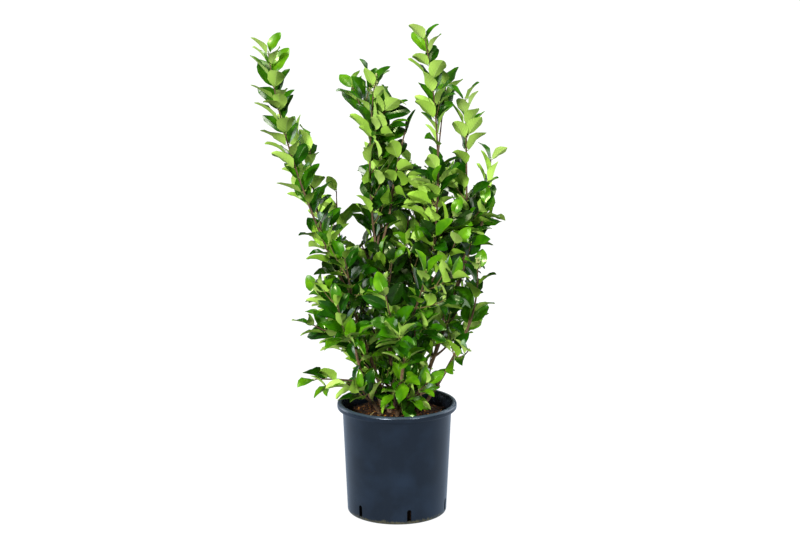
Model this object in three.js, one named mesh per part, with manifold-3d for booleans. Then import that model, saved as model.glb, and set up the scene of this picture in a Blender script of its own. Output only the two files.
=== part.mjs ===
// Potted Japanese privet: a clump of leaning canes in a round nursery pot.
// Millimetres, +Z up. The origin is the middle of the pot's underside, and -Y is the front.

import * as THREE from 'three';
import { mergeVertices } from 'three/addons/utils/BufferGeometryUtils.js';
import Module from 'manifold-3d';

const wasm = await Module();
wasm.setup();

// Pot
const potHeight = 236;
const potFootRadius = 104;
const potFootBevel = 4;
const potShoulderRadius = 114;
const potWall = 3;
const potFloor = 4;
const rimRadius = 125;
const rimInnerRadius = 116;
const rimHeight = 13;
const rimRound = 3;
const roundSides = 32;

// Drain slots round the foot of the pot
const slotCount = 6;
const slotWidth = 9;
const slotHeight = 26;
const slotBottom = 6;
const firstSlotAngle = 14;
const slotCut = 18;
const slotHeadSteps = 3;

// Compost
const compostTop = 212;
const compostEdgeDrop = 6;
const compostFlatRadius = 78;

// Clearance between neighbouring pieces, and the wider one kept between leaves
const seat = 0.3;
const leafClearance = 0.8;

// Canes and boughs
const caneSides = 6;
const caneSteps = 7;
const boughSteps = 3;
const flareGrowth = 0.45;
const flareLength = 14;

// Leafy shoots
const firstSeed = 11;
const shootSides = 3;
const shootStep = 60;
const shootFootRadius = 2.7;
const shootTipRadius = 1.6;
const usualSag = [0, 0, -8];
const internode = 44;
const shortInternode = 26;
const pairsOnShort = 4.5;
const bareFoot = 16;
const twigInternode = 33;
const twigEvery = 4;
const twigReach = 0.6;
const twigShortest = 48;
const twigLongest = 82;
const twigAngle = 46;
const twigFootRadius = 2;
const twigSteps = 2;
const twigRise = 0.12;
const twigSag = 0.05;

// Leaves
const leafLength = 62;
const leafWidthRatio = 0.6;
const leafWidest = 0.46;
const leafThickness = 1.9;
const petiole = 7;
const leafFold = 0.07;
const leafDroop = 0.04;
const tipShrink = 0.34;
const tipPairs = 2.2;
const leastSize = 0.86;
const sizeScatter = 0.28;
const turnScatter = 0.6;
const divergenceScatter = 22;
const rollScatter = 0.9;
const leafTries = 7;
const scatterGrowth = 0.35;
const levelling = 1.15;
const overCompost = 2;
const overRim = 2;
const insideRim = 8;
const levelDivergence = 62;
const uprightDivergence = 44;
const tipDivergence = 24;
const worldUp = new THREE.Vector3(0, 0, 1);

// Tolerances: vertices that count as one, lines that count as parallel, and those that lie near X
const mergeTolerance = 1e-4;
const tiny = 1e-9;
const nearX = 0.8;

// Canes: foot on the compost, top, sideways bow of the middle and the two radii
const canes = [
  { name: 'cane_left', foot: [-12, 2], top: [-98, -44, 476], bow: [-4, 0, 6], radii: [4.4, 3] },
  { name: 'cane_mid', foot: [-7, 26], top: [-45, 30, 566], bow: [6, 4, 0], radii: [4.2, 2.9] },
  { name: 'cane_centre', foot: [13, -5], top: [75, -30, 560], bow: [2, 6, 0], radii: [4.4, 3] },
  { name: 'cane_right', foot: [24, 19], top: [143, 20, 566], bow: [14, -6, 0], radii: [4.4, 2.9] },
  { name: 'cane_low_right', foot: [40, -2], top: [146, -34, 402], bow: [4, 4, -6], radii: [3.8, 2.8] },
  { name: 'cane_front', foot: [0, -26], top: [28, -118, 440], bow: [-4, -14, -10], radii: [4, 2.8] },
  { name: 'cane_front_left', foot: [-28, -18], top: [-84, -92, 372], bow: [-6, -8, -8], radii: [3.8, 2.7] },
  { name: 'cane_back_left', foot: [-28, 36], top: [-106, 142, 480], bow: [-6, 10, -10], radii: [4, 2.8] },
  { name: 'cane_back', foot: [4, 48], top: [12, 168, 500], bow: [4, 12, -10], radii: [4, 2.8] },
  { name: 'cane_back_right', foot: [34, 42], top: [116, 134, 474], bow: [10, 8, -10], radii: [4, 2.8] },
];

// Boughs: the cane they fork from, how far up it, their tip and the two radii
const boughs = [
  { name: 'bough_left_inner', on: 'cane_left', at: 0.86, tip: [-138, -18, 552], radii: [2.6, 2.1] },
  { name: 'bough_mid_right', on: 'cane_mid', at: 0.9, tip: [-14, 16, 636], radii: [2.6, 2.1] },
  { name: 'bough_right_outer', on: 'cane_right', at: 0.84, tip: [172, 62, 586], radii: [2.5, 2] },
  { name: 'bough_back_mid', on: 'cane_back', at: 0.8, tip: [-30, 176, 560], radii: [2.5, 2] },
];

// Leafy shoots: the limb they stand on, how far up its side where it isn't the tip, their own tip,
// their bow where it isn't the usual sag, and the share of the stem with side twigs likewise
const shoots = [
  { name: 'shoot_left_outer', on: 'cane_left', tip: [-252, -82, 968], bow: [-26, 0, 10], twigs: 0.2 },
  { name: 'shoot_left_inner', on: 'bough_left_inner', tip: [-176, -12, 786], bow: [-10, 0, 0], twigs: 0.9 },
  { name: 'shoot_left_front', on: 'cane_left', at: 0.93, tip: [-104, -128, 568], bow: [4, -10, -8] },
  { name: 'shoot_mid_tall', on: 'cane_mid', tip: [-46, 40, 892], bow: [-10, 0, 0], twigs: 0.9 },
  { name: 'shoot_mid_left', on: 'cane_mid', at: 0.95, tip: [-92, 82, 884], bow: [26, 14, 0], twigs: 0.9 },
  { name: 'shoot_mid_right', on: 'bough_mid_right', tip: [22, 0, 822], bow: [-4, 0, 0], twigs: 0.9 },
  { name: 'shoot_centre_tall', on: 'cane_centre', tip: [56, -52, 994], bow: [16, 0, 0], twigs: 0.4 },
  { name: 'shoot_centre_right', on: 'cane_centre', at: 0.93, tip: [100, 44, 892], bow: [-4, 20, 0] },
  { name: 'shoot_right_tall', on: 'cane_right', tip: [138, 0, 868], bow: [2, 8, 0], twigs: 0.4 },
  { name: 'shoot_right_outer', on: 'bough_right_outer', tip: [196, 96, 732], bow: [4, 0, -4], twigs: 0.2 },
  { name: 'shoot_low_right', on: 'cane_low_right', tip: [164, -46, 528], bow: [6, 0, -4] },
  { name: 'shoot_front_right', on: 'cane_front', tip: [57, -177, 550], bow: [2, -6, -4] },
  { name: 'shoot_front_mid', on: 'cane_front', at: 0.8, tip: [-22, -186, 506], bow: [-4, -8, -10] },
  { name: 'shoot_front_left', on: 'cane_front_left', tip: [-117, -155, 480], bow: [-4, -4, -8] },
  { name: 'shoot_back_left', on: 'cane_back_left', tip: [-130, 186, 650], bow: [-6, 6, -6] },
  { name: 'shoot_back_mid', on: 'bough_back_mid', tip: [-44, 192, 740], bow: [-6, 6, 0] },
  { name: 'shoot_back', on: 'cane_back', tip: [30, 204, 710], bow: [4, 10, -6] },
  { name: 'shoot_back_right', on: 'cane_back_right', tip: [138, 180, 650], bow: [8, 8, -6] },
  { name: 'spray_left_low', on: 'cane_left', at: 0.58, tip: [-171, -59, 414], bow: [0, 0, -6] },
  { name: 'spray_left_mid', on: 'cane_left', at: 0.74, tip: [-154, 8, 462], bow: [0, 0, -6] },
  { name: 'spray_left_rim', on: 'cane_left', at: 0.24, tip: [-170, -40, 294], bow: [0, 0, 4] },
  { name: 'spray_right_low', on: 'cane_low_right', at: 0.7, tip: [146, -106, 374] },
  { name: 'spray_right_rim', on: 'cane_low_right', at: 0.36, tip: [114, -72, 316], bow: [0, 0, -4] },
  { name: 'spray_right_mid', on: 'cane_right', at: 0.5, tip: [146, 34, 466] },
  { name: 'spray_right_back', on: 'cane_back_right', at: 0.42, tip: [152, 86, 392] },
  { name: 'spray_front_low', on: 'cane_front', at: 0.24, tip: [62, -94, 302], twigs: 0.9 },
  { name: 'spray_front_rim', on: 'cane_front_left', at: 0.3, tip: [-70, -112, 292], twigs: 0.9 },
  { name: 'spray_back_low', on: 'cane_back', at: 0.34, tip: [44, 160, 332], twigs: 0.9 },
  { name: 'spray_back_rim', on: 'cane_back_left', at: 0.3, tip: [-112, 116, 316], twigs: 0.9 },
  { name: 'spray_back_side', on: 'cane_back_left', at: 0.66, tip: [-164, 108, 446] },
  { name: 'spray_body_left', on: 'cane_mid', at: 0.4, tip: [-70, -24, 440], bow: [-6, 0, -8], twigs: 0.9 },
  { name: 'spray_body_mid', on: 'cane_mid', at: 0.62, tip: [-10, -34, 540], twigs: 0.9 },
  { name: 'spray_body_back', on: 'cane_mid', at: 0.76, tip: [-92, 92, 596] },
  { name: 'spray_body_front', on: 'cane_centre', at: 0.36, tip: [36, -84, 428], twigs: 0.9 },
  { name: 'spray_body_centre', on: 'cane_centre', at: 0.66, tip: [20, 20, 566] },
  { name: 'spray_body_right', on: 'cane_centre', at: 0.8, tip: [118, -72, 588] },
  { name: 'spray_right_front', on: 'cane_right', at: 0.7, tip: [150, -44, 580] },
  { name: 'spray_right_inner', on: 'cane_right', at: 0.32, tip: [70, 66, 420], twigs: 0.9 },
  { name: 'spray_back_inner', on: 'cane_back', at: 0.6, tip: [62, 130, 520] },
  { name: 'spray_foot_left', on: 'cane_mid', at: 0.14, tip: [-66, 0, 316], bow: [0, 0, -4], twigs: 0.9 },
  { name: 'spray_foot_right', on: 'cane_right', at: 0.14, tip: [80, 64, 300], bow: [0, 0, -4], twigs: 0.9 },
  { name: 'spray_foot_front', on: 'cane_centre', at: 0.14, tip: [14, -70, 300], twigs: 0.9 },
  { name: 'spray_foot_back', on: 'cane_back', at: 0.14, tip: [-18, 96, 320], bow: [0, 0, -4], twigs: 0.9 },
];

// Colours and finishes
const potPlastic = { color: 0x262d3a, roughness: 0.42, metalness: 0 };
const barkCompost = { color: 0x4a2c18, roughness: 0.95, metalness: 0 };
const bark = { color: 0x8a7358, roughness: 0.8, metalness: 0 };
const leafGreen = { color: 0x3f7a1e, roughness: 0.35, metalness: 0 };

const plant = new THREE.Group();

// A seeded run of numbers between 0 and 1
function seededRandom(seed) {
  const modulus = 2147483647;
  let state = seed * 7919 + 104729;
  return () => {
    state = (state * 16807) % modulus;
    return state / modulus;
  };
}

function vector(list) {
  return new THREE.Vector3(...list);
}

// Solids
function geometryFrom(positions, indices) {
  const geometry = new THREE.BufferGeometry();
  geometry.setAttribute('position', new THREE.Float32BufferAttribute(positions, 3));
  geometry.setIndex(indices);
  return geometry;
}

function solidFrom(geometry) {
  const bare = geometry.clone();
  bare.deleteAttribute('normal');
  bare.deleteAttribute('uv');
  const merged = mergeVertices(bare, mergeTolerance);
  const triangles = [];
  for (let i = 0; i < merged.index.count; i += 3) {
    const [a, b, c] = [0, 1, 2].map((corner) => merged.index.getX(i + corner));
    if (a !== b && b !== c && c !== a) triangles.push(a, b, c);
  }
  return new wasm.Manifold(new wasm.Mesh({
    numProp: 3,
    vertProperties: new Float32Array(merged.attributes.position.array),
    triVerts: new Uint32Array(triangles),
  }));
}

function geometryOf(solid) {
  const mesh = solid.getMesh();
  const positions = [];
  for (let i = 0; i < mesh.numVert; i += 1) {
    positions.push(...mesh.vertProperties.slice(i * mesh.numProp, i * mesh.numProp + 3));
  }
  return geometryFrom(positions, [...mesh.triVerts]);
}

function addPiece(name, solid, finish) {
  const geometry = geometryOf(solid);
  geometry.computeVertexNormals();
  const piece = new THREE.Mesh(geometry, new THREE.MeshStandardMaterial(finish));
  piece.name = name;
  plant.add(piece);
}

// The largest closed body of a solid, without loose scraps or sealed hollows
function mainBody(solid) {
  const bodies = solid.decompose();
  return bodies.reduce((best, body) => (body.volume() > best.volume() ? body : best));
}

function latheSolid(profile) {
  const points = profile.map(([radius, height]) => new THREE.Vector2(radius, height));
  const lathe = new THREE.LatheGeometry(points, roundSides);
  lathe.rotateX(Math.PI / 2);
  return solidFrom(lathe);
}

// Pot and compost
function wallRadius(height) {
  const share = height / (potHeight - rimHeight);
  return THREE.MathUtils.lerp(potFootRadius, potShoulderRadius, share);
}

function makePot() {
  const shoulder = potHeight - rimHeight;
  const outside = [
    [0, 0],
    [potFootRadius - potFootBevel, 0],
    [wallRadius(potFootBevel), potFootBevel],
    [potShoulderRadius, shoulder],
    [rimRadius - rimRound, shoulder],
    [rimRadius, shoulder + rimRound],
    [rimRadius, potHeight - rimRound],
    [rimRadius - rimRound, potHeight],
    [rimInnerRadius, potHeight],
  ];
  const inside = [
    [wallRadius(shoulder - potWall) - potWall, shoulder - potWall],
    [wallRadius(potFloor) - potWall, potFloor],
    [0, potFloor],
  ];
  const shell = latheSolid([...outside, ...inside]);
  return Array.from({ length: slotCount }).reduce((pot, unused, slot) => {
    const angle = THREE.MathUtils.degToRad(firstSlotAngle + (360 / slotCount) * slot);
    return pot.subtract(makeSlot(angle));
  }, shell);
}

// A drain slot with a round head, cut straight through the wall at an angle from the front
function makeSlot(angle) {
  const half = slotWidth / 2;
  const outline = new THREE.Shape();
  outline.moveTo(-half, slotBottom);
  outline.lineTo(half, slotBottom);
  outline.lineTo(half, slotBottom + slotHeight - half);
  outline.absarc(0, slotBottom + slotHeight - half, half, 0, Math.PI, false);
  outline.closePath();
  const cutter = new THREE.ExtrudeGeometry(outline, {
    depth: slotCut,
    bevelEnabled: false,
    curveSegments: slotHeadSteps,
  });
  cutter.translate(0, 0, potFootRadius - slotCut / 2);
  cutter.rotateX(Math.PI / 2);
  cutter.rotateZ(angle);
  return solidFrom(cutter);
}

function makeCompost() {
  const floor = potFloor + seat;
  const inset = potWall + seat;
  const edgeTop = compostTop - compostEdgeDrop;
  return latheSolid([
    [0, floor],
    [wallRadius(floor) - inset, floor],
    [wallRadius(edgeTop) - inset, edgeTop],
    [compostFlatRadius, compostTop],
    [0, compostTop],
  ]);
}

// A limb's path is one bowed curve from its foot to its tip
function bowedPath(foot, tip, bow) {
  const middle = foot.clone().add(tip).multiplyScalar(0.5).add(bow.clone().multiplyScalar(2));
  return new THREE.QuadraticBezierCurve3(foot, middle, tip);
}

function directionAt(path, share) {
  const { v0, v1, v2 } = path;
  const start = v1.clone().sub(v0).multiplyScalar(1 - share);
  return start.add(v2.clone().sub(v1).multiplyScalar(share)).normalize();
}

// A direction square to another, turned on from the one before it
function squareTo(direction, last) {
  return last.clone().addScaledVector(direction, -last.dot(direction)).normalize();
}

function firstSquare(direction) {
  const aside = Math.abs(direction.x) < nearX ? [1, 0, 0] : [0, 1, 0];
  return squareTo(direction, vector(aside));
}

// The rings of a tapering tube along a path, its foot cut square to the way that is given
function tubeRings(path, radiusAt, sides, steps, footWay) {
  const rings = [];
  let normal = firstSquare(footWay);
  for (let ring = 0; ring <= steps; ring += 1) {
    const share = ring / steps;
    const centre = path.getPoint(share);
    const direction = ring === 0 ? footWay : directionAt(path, share);
    normal = squareTo(direction, normal);
    const binormal = direction.clone().cross(normal);
    rings.push(Array.from({ length: sides }, (unused, side) => {
      const angle = (2 * Math.PI * side) / sides;
      return centre.clone()
        .addScaledVector(normal, radiusAt(share) * Math.cos(angle))
        .addScaledVector(binormal, radiusAt(share) * Math.sin(angle));
    }));
  }
  return rings;
}

// A closed tube over its rings
function tubeSolid(rings) {
  const positions = rings.flat().flatMap((point) => point.toArray());
  const sides = rings[0].length;
  const last = (rings.length - 1) * sides;
  const indices = [];
  for (let ring = 0; ring < last; ring += sides) {
    for (let side = 0; side < sides; side += 1) {
      const [a, b] = [ring + side, ring + ((side + 1) % sides)];
      const [c, d] = [a + sides, b + sides];
      indices.push(a, b, d, a, d, c);
    }
  }
  for (let side = 1; side < sides - 1; side += 1) {
    indices.push(0, side + 1, side);
    indices.push(last, last + side, last + side + 1);
  }
  return solidFrom(geometryFrom(positions, indices));
}

function centreOf(points) {
  const sum = points.reduce((total, point) => total.add(point), new THREE.Vector3());
  return sum.divideScalar(points.length);
}

// Limbs that others stand on, and the straight stretches that leaves and twigs keep clear of
const limbs = new Map();
const stretches = [];

function keepStretches(owner, path, radiusAt, steps) {
  for (let step = 0; step < steps; step += 1) {
    stretches.push({
      owner,
      from: path.getPoint(step / steps),
      to: path.getPoint((step + 1) / steps),
      radius: radiusAt(step / steps),
    });
  }
}

function addLimb(name, path, radiusAt, steps, footWay) {
  const rings = tubeRings(path, radiusAt, caneSides, steps, footWay);
  limbs.set(name, { path, rings });
  keepStretches(name, path, radiusAt, steps);
  addPiece(name, tubeSolid(rings), bark);
}

// Where a limb starts, just clear of the tip or the side of the one that carries it, and how its
// foot is cut
function footOn(carrier, at, tip) {
  const { path, rings } = limbs.get(carrier);
  if (at === 1) {
    const direction = directionAt(path, 1);
    return { foot: path.getPoint(1).addScaledVector(direction, seat), footWay: direction };
  }
  const place = at * (rings.length - 1);
  const [below, above] = [rings[Math.floor(place)], rings[Math.floor(place) + 1]];
  const corners = below.map((corner, side) => corner.clone().lerp(above[side], place % 1));
  const centre = centreOf(corners);
  const direction = centreOf(above).sub(centreOf(below)).normalize();
  const away = squareTo(direction, tip.clone().sub(centre));
  const reach = Math.max(...corners.map((corner) => corner.sub(centre).dot(away)));
  return { foot: centre.addScaledVector(away, reach + seat), footWay: away };
}

function makeCane({ name, foot, top, bow, radii }) {
  const start = new THREE.Vector3(foot[0], foot[1], compostTop + seat);
  const path = bowedPath(start, vector(top), vector(bow));
  const length = path.getLength();
  const radiusAt = (share) => {
    const flare = flareGrowth * Math.exp((-share * length) / flareLength);
    return THREE.MathUtils.lerp(radii[0], radii[1], share) * (1 + flare);
  };
  addLimb(name, path, radiusAt, caneSteps, worldUp);
}

function makeBough({ name, on, at, tip, radii }) {
  const end = vector(tip);
  const { foot, footWay } = footOn(on, at, end);
  const path = bowedPath(foot, end, new THREE.Vector3());
  const radiusAt = (share) => THREE.MathUtils.lerp(radii[0], radii[1], share);
  addLimb(name, path, radiusAt, boughSteps, footWay);
}

// Whether a straight line runs through a triangle
function crosses(from, to, [a, b, c]) {
  const line = to.clone().sub(from);
  const edgeB = b.clone().sub(a);
  const edgeC = c.clone().sub(a);
  const across = line.clone().cross(edgeC);
  const turn = edgeB.dot(across);
  if (Math.abs(turn) < tiny) return false;
  const offset = from.clone().sub(a);
  const u = offset.dot(across) / turn;
  if (u < 0 || u > 1) return false;
  const lift = offset.cross(edgeB);
  const v = line.dot(lift) / turn;
  if (v < 0 || u + v > 1) return false;
  const share = edgeC.dot(lift) / turn;
  return share >= 0 && share <= 1;
}

// The least distance between two straight stretches
function apart(p, q, r, s) {
  const first = q.clone().sub(p);
  const second = s.clone().sub(r);
  const between = p.clone().sub(r);
  const [aa, bb, ab] = [first.dot(first), second.dot(second), first.dot(second)];
  const [af, bf] = [first.dot(between), second.dot(between)];
  const spread = aa * bb - ab * ab;
  const clamp = (value) => Math.min(1, Math.max(0, value));
  let u = spread > tiny ? clamp((ab * bf - af * bb) / spread) : 0;
  const v = clamp((ab * u + bf) / bb);
  u = clamp((ab * v - af) / aa);
  const here = p.clone().addScaledVector(first, u);
  return here.distanceTo(r.clone().addScaledVector(second, v));
}

// A leaf is a blade folded along its midrib: its root, its tip, two sides and the rib's underside
const leafFaces = [[0, 1, 3], [0, 2, 1], [0, 3, 4], [4, 3, 1], [0, 4, 2], [4, 1, 2]];
const leafEdges = [[0, 1], [0, 2], [0, 3], [0, 4], [1, 2], [1, 3], [1, 4], [4, 2], [4, 3]];

function leafPoints({ root, stalk, along, up, length, width }, swell) {
  const across = along.clone().cross(up);
  const tip = root.clone()
    .add(stalk)
    .addScaledVector(along, length + swell)
    .addScaledVector(up, -length * leafDroop);
  const ridge = root.clone().lerp(tip, leafWidest);
  const half = width / 2 + swell;
  const lift = width * leafFold;
  return [
    root,
    tip,
    ridge.clone().addScaledVector(across, half).addScaledVector(up, lift),
    ridge.clone().addScaledVector(across, -half).addScaledVector(up, lift),
    ridge.clone().addScaledVector(up, -leafThickness - swell),
  ];
}

function leafFrom(points) {
  const middle = points[0].clone().add(points[1]).multiplyScalar(0.5);
  const radius = Math.max(...points.map((point) => point.distanceTo(middle)));
  return { points, middle, radius };
}

function leavesTouch(one, two) {
  if (one.middle.distanceTo(two.middle) > one.radius + two.radius) return false;
  const pierces = (a, b) => leafEdges.some(([from, to]) => (
    leafFaces.some((face) => crosses(a.points[from], a.points[to], face.map((i) => b.points[i])))
  ));
  return pierces(one, two) || pierces(two, one);
}

function leafMeets(leaf, { from, to, radius }) {
  const middle = from.clone().add(to).multiplyScalar(0.5);
  const reach = leaf.radius + radius + from.distanceTo(to) / 2;
  if (leaf.middle.distanceTo(middle) > reach) return false;
  if (leafFaces.some((face) => crosses(from, to, face.map((i) => leaf.points[i])))) return true;
  return leafEdges.some(([a, b]) => (
    apart(leaf.points[a], leaf.points[b], from, to) < radius + leafClearance
  ));
}

// All leaves placed so far, each with the shoot that owns it
const leaves = [];

function isFree(owner, spec) {
  const swollen = leafFrom(leafPoints(spec, leafClearance));
  const outer = { ...spec, root: spec.root.clone().add(spec.stalk), stalk: new THREE.Vector3() };
  const blade = leafFrom(leafPoints(outer, 0));
  if (swollen.points.some((point) => point.z < compostTop + overCompost)) return false;
  const clearOfPot = swollen.points.every((point) => (
    point.z > potHeight + overRim || Math.hypot(point.x, point.y) < rimInnerRadius - insideRim
  ));
  if (!clearOfPot) return false;
  const nearWood = stretches.some((stretch) => (
    leafMeets(stretch.owner === owner ? blade : swollen, stretch)
  ));
  if (nearWood) return false;
  return !leaves.some((other) => leavesTouch(other.owner === owner ? blade : swollen, other));
}

// Leaves stand in opposite pairs, each pair square to the last, steeper towards the tip
function makePair(owner, node, turn, random) {
  const kept = [];
  const sides = [0, Math.PI].filter((side) => side !== node.twigSide);
  const binormal = node.direction.clone().cross(node.normal);
  const level = THREE.MathUtils.clamp(levelling * (1 - node.direction.z), 0, 1);
  for (const side of sides) {
    for (let attempt = 0; attempt < leafTries; attempt += 1) {
      const loose = 1 + attempt * scatterGrowth;
      const angle = turn + side + (random() - 0.5) * turnScatter * loose;
      const low = THREE.MathUtils.lerp(levelDivergence, uprightDivergence, node.direction.z);
      const base = THREE.MathUtils.lerp(low, tipDivergence, node.share);
      const spread = THREE.MathUtils.degToRad(base + (random() - 0.5) * divergenceScatter * loose);
      const roll = (random() - 0.5) * rollScatter * loose;
      const size = node.size * (leastSize + sizeScatter * random());
      const radial = node.normal.clone().multiplyScalar(Math.cos(angle))
        .addScaledVector(binormal, Math.sin(angle));
      const along = node.direction.clone().multiplyScalar(Math.cos(spread))
        .addScaledVector(radial, Math.sin(spread));
      const up = node.direction.clone().multiplyScalar(Math.sin(spread))
        .addScaledVector(radial, -Math.cos(spread))
        .lerp(worldUp, level);
      const face = squareTo(along, up).applyAxisAngle(along, roll);
      const spec = {
        root: node.point,
        stalk: radial.multiplyScalar(petiole * size),
        along,
        up: face,
        length: leafLength * size,
        width: leafLength * size * leafWidthRatio,
      };
      if (isFree(owner, spec)) {
        const leaf = { owner, ...leafFrom(leafPoints(spec, 0)) };
        leaves.push(leaf);
        kept.push(leaf);
        break;
      }
    }
  }
  return kept;
}

// The places along a stem where pairs of leaves stand
function leafNodes(path, bare, gap) {
  const length = path.getLength();
  const count = Math.max(1, Math.round((length - bare) / gap));
  let normal = firstSquare(directionAt(path, 0));
  return Array.from({ length: count + 1 }, (unused, index) => {
    const along = bare + ((length - bare - shootTipRadius) * index) / count;
    const share = along / length;
    const direction = directionAt(path, share);
    normal = squareTo(direction, normal);
    const tipLoss = tipShrink * Math.max(0, 1 - (length - along) / (tipPairs * gap));
    return { point: path.getPoint(share), direction, normal, share, size: 1 - tipLoss };
  });
}

function shootRadius(foot) {
  return (share) => THREE.MathUtils.lerp(foot, shootTipRadius, share);
}

function stepsFor(path) {
  return Math.max(2, Math.round(path.getLength() / shootStep));
}

// A side twig from the axil of a leaf, bending up as it grows
function twigPath(node, turn, length) {
  const binormal = node.direction.clone().cross(node.normal);
  const radial = node.normal.clone().multiplyScalar(Math.cos(turn))
    .addScaledVector(binormal, Math.sin(turn));
  const angle = THREE.MathUtils.degToRad(twigAngle);
  const away = node.direction.clone().multiplyScalar(Math.cos(angle))
    .addScaledVector(radial, Math.sin(angle));
  const tip = node.point.clone()
    .addScaledVector(away, length)
    .addScaledVector(worldUp, length * twigRise);
  return bowedPath(node.point.clone(), tip, new THREE.Vector3(0, 0, -length * twigSag));
}

function twigIsFree(owner, path, radius) {
  const [from, middle, to] = [path.getPoint(0), path.getPoint(0.5), path.getPoint(1)];
  const nearest = (stretch) => Math.min(
    apart(from, middle, stretch.from, stretch.to),
    apart(middle, to, stretch.from, stretch.to),
  );
  return stretches.every((stretch) => (
    stretch.owner === owner || nearest(stretch) > radius + stretch.radius + 2 * leafClearance
  ));
}

// The stem of a shoot and its side twigs, laid out before any leaf is placed
function layShoot({ name, on, at = 1, tip, bow = usualSag, twigs = twigReach }, order) {
  const random = seededRandom(firstSeed + order);
  const end = vector(tip);
  const { foot, footWay } = footOn(on, at, end);
  const path = bowedPath(foot, end, vector(bow));
  const radiusAt = shootRadius(shootFootRadius);
  const steps = stepsFor(path);
  keepStretches(name, path, radiusAt, steps);
  const solids = [tubeSolid(tubeRings(path, radiusAt, shootSides, steps, footWay))];
  const firstTurn = random() * Math.PI;
  const gap = THREE.MathUtils.clamp(path.getLength() / pairsOnShort, shortInternode, internode);
  const stems = [{ nodes: leafNodes(path, bareFoot, gap), firstTurn }];
  stems[0].nodes.forEach((node, index) => {
    const length = THREE.MathUtils.lerp(twigShortest, twigLongest, random());
    const side = random() < 0.5 ? 0 : Math.PI;
    if (index % twigEvery !== 1 || node.share > twigs) return;
    const turn = firstTurn + (index * Math.PI) / 2 + side;
    const twig = twigPath(node, turn, length);
    if (!twigIsFree(name, twig, twigFootRadius)) return;
    const twigRadius = shootRadius(twigFootRadius);
    const twigWay = directionAt(twig, 0);
    keepStretches(name, twig, twigRadius, twigSteps);
    solids.push(tubeSolid(tubeRings(twig, twigRadius, shootSides, twigSteps, twigWay)));
    stems.push({ nodes: leafNodes(twig, bareFoot, twigInternode), firstTurn: random() * Math.PI });
    node.twigSide = side;
  });
  return { name, random, solids, stems };
}

function growShoot({ name, random, solids, stems }) {
  for (const { nodes, firstTurn } of stems) {
    nodes.forEach((node, index) => {
      const pair = makePair(name, node, firstTurn + (index * Math.PI) / 2, random);
      for (const leaf of pair) {
        const positions = leaf.points.flatMap((point) => point.toArray());
        solids.push(solidFrom(geometryFrom(positions, leafFaces.flat())));
      }
    });
  }
  addPiece(name, mainBody(wasm.Manifold.union(solids)), leafGreen);
}

addPiece('pot', makePot(), potPlastic);
addPiece('compost', makeCompost(), barkCompost);
canes.forEach(makeCane);
boughs.forEach(makeBough);
shoots.map(layShoot).forEach(growShoot);

export default plant;
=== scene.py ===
# A potted Japanese privet: pot, compost, bark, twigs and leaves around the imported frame
# Blender works in metres. The dictionaries give millimetres and degrees unless a note says otherwise
import math
from functools import partial

import bmesh
import bpy
import numpy as np
from mathutils import Matrix, Vector, noise
from mathutils.bvhtree import BVHTree


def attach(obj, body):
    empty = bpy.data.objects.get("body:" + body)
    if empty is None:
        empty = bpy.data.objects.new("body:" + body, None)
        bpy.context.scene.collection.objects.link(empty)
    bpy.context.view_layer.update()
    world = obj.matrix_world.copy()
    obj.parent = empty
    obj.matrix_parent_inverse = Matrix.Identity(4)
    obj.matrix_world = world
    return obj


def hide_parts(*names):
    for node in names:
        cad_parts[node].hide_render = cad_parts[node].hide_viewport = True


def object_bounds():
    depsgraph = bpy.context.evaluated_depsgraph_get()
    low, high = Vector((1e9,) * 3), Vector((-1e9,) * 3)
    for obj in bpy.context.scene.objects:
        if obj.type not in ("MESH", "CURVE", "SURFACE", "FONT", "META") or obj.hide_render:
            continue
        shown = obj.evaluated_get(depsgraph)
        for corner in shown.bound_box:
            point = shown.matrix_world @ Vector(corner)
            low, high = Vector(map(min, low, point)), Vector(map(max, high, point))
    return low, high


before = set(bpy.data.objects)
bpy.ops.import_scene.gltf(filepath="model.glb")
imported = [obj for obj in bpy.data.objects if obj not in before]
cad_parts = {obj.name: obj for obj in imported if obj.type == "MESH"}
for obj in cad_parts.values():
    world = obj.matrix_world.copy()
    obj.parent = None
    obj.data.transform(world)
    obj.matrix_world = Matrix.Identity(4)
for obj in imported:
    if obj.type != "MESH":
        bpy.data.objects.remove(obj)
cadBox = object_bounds()
mm = 0.001
worldUp = Vector((0, 0, 1))


# Small helpers

def linearColour(hexText):
    parts = [int(hexText[i:i + 2], 16) / 255 for i in (1, 3, 5)]
    linear = [c / 12.92 if c <= 0.04045 else ((c + 0.055) / 1.055) ** 2.4 for c in parts]
    return (*linear, 1)


# Fills inputs: a node is linked by its first output, a socket by itself, and a hex text is a colour
def setInputs(node, inputs):
    for name, value in inputs.items():
        socket = node.inputs[name]
        if isinstance(value, bpy.types.Node):
            node.id_data.links.new(value.outputs[0], socket)
        elif isinstance(value, bpy.types.NodeSocket):
            node.id_data.links.new(value, socket)
        elif str(value).startswith("#"):
            socket.default_value = linearColour(value)
        else:
            socket.default_value = value


def addNode(tree, kind, inputs=None, **settings):
    node = tree.nodes.new(kind)
    for name, value in settings.items():
        setattr(node, name, value)
    setInputs(node, inputs or {})
    return node


def newMaterial(name):
    material = bpy.data.materials.new(name)
    material.use_nodes = True
    tree = material.node_tree
    return material, partial(addNode, tree), tree.nodes["Principled BSDF"]


# Two colours in clouds of a real size. The clouds come back too, for relief
def mottled(add, place, size, colours, edges, **clouds):
    cloud = add("ShaderNodeTexNoise", {"Vector": place, "Scale": 1 / (size * mm), **clouds})
    share = add("ShaderNodeMapRange", {"Value": cloud, "From Min": edges[0], "From Max": edges[1]})
    return cloud, add("ShaderNodeMixRGB", {"Fac": share, "Color1": colours[0], "Color2": colours[1]})


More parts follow.
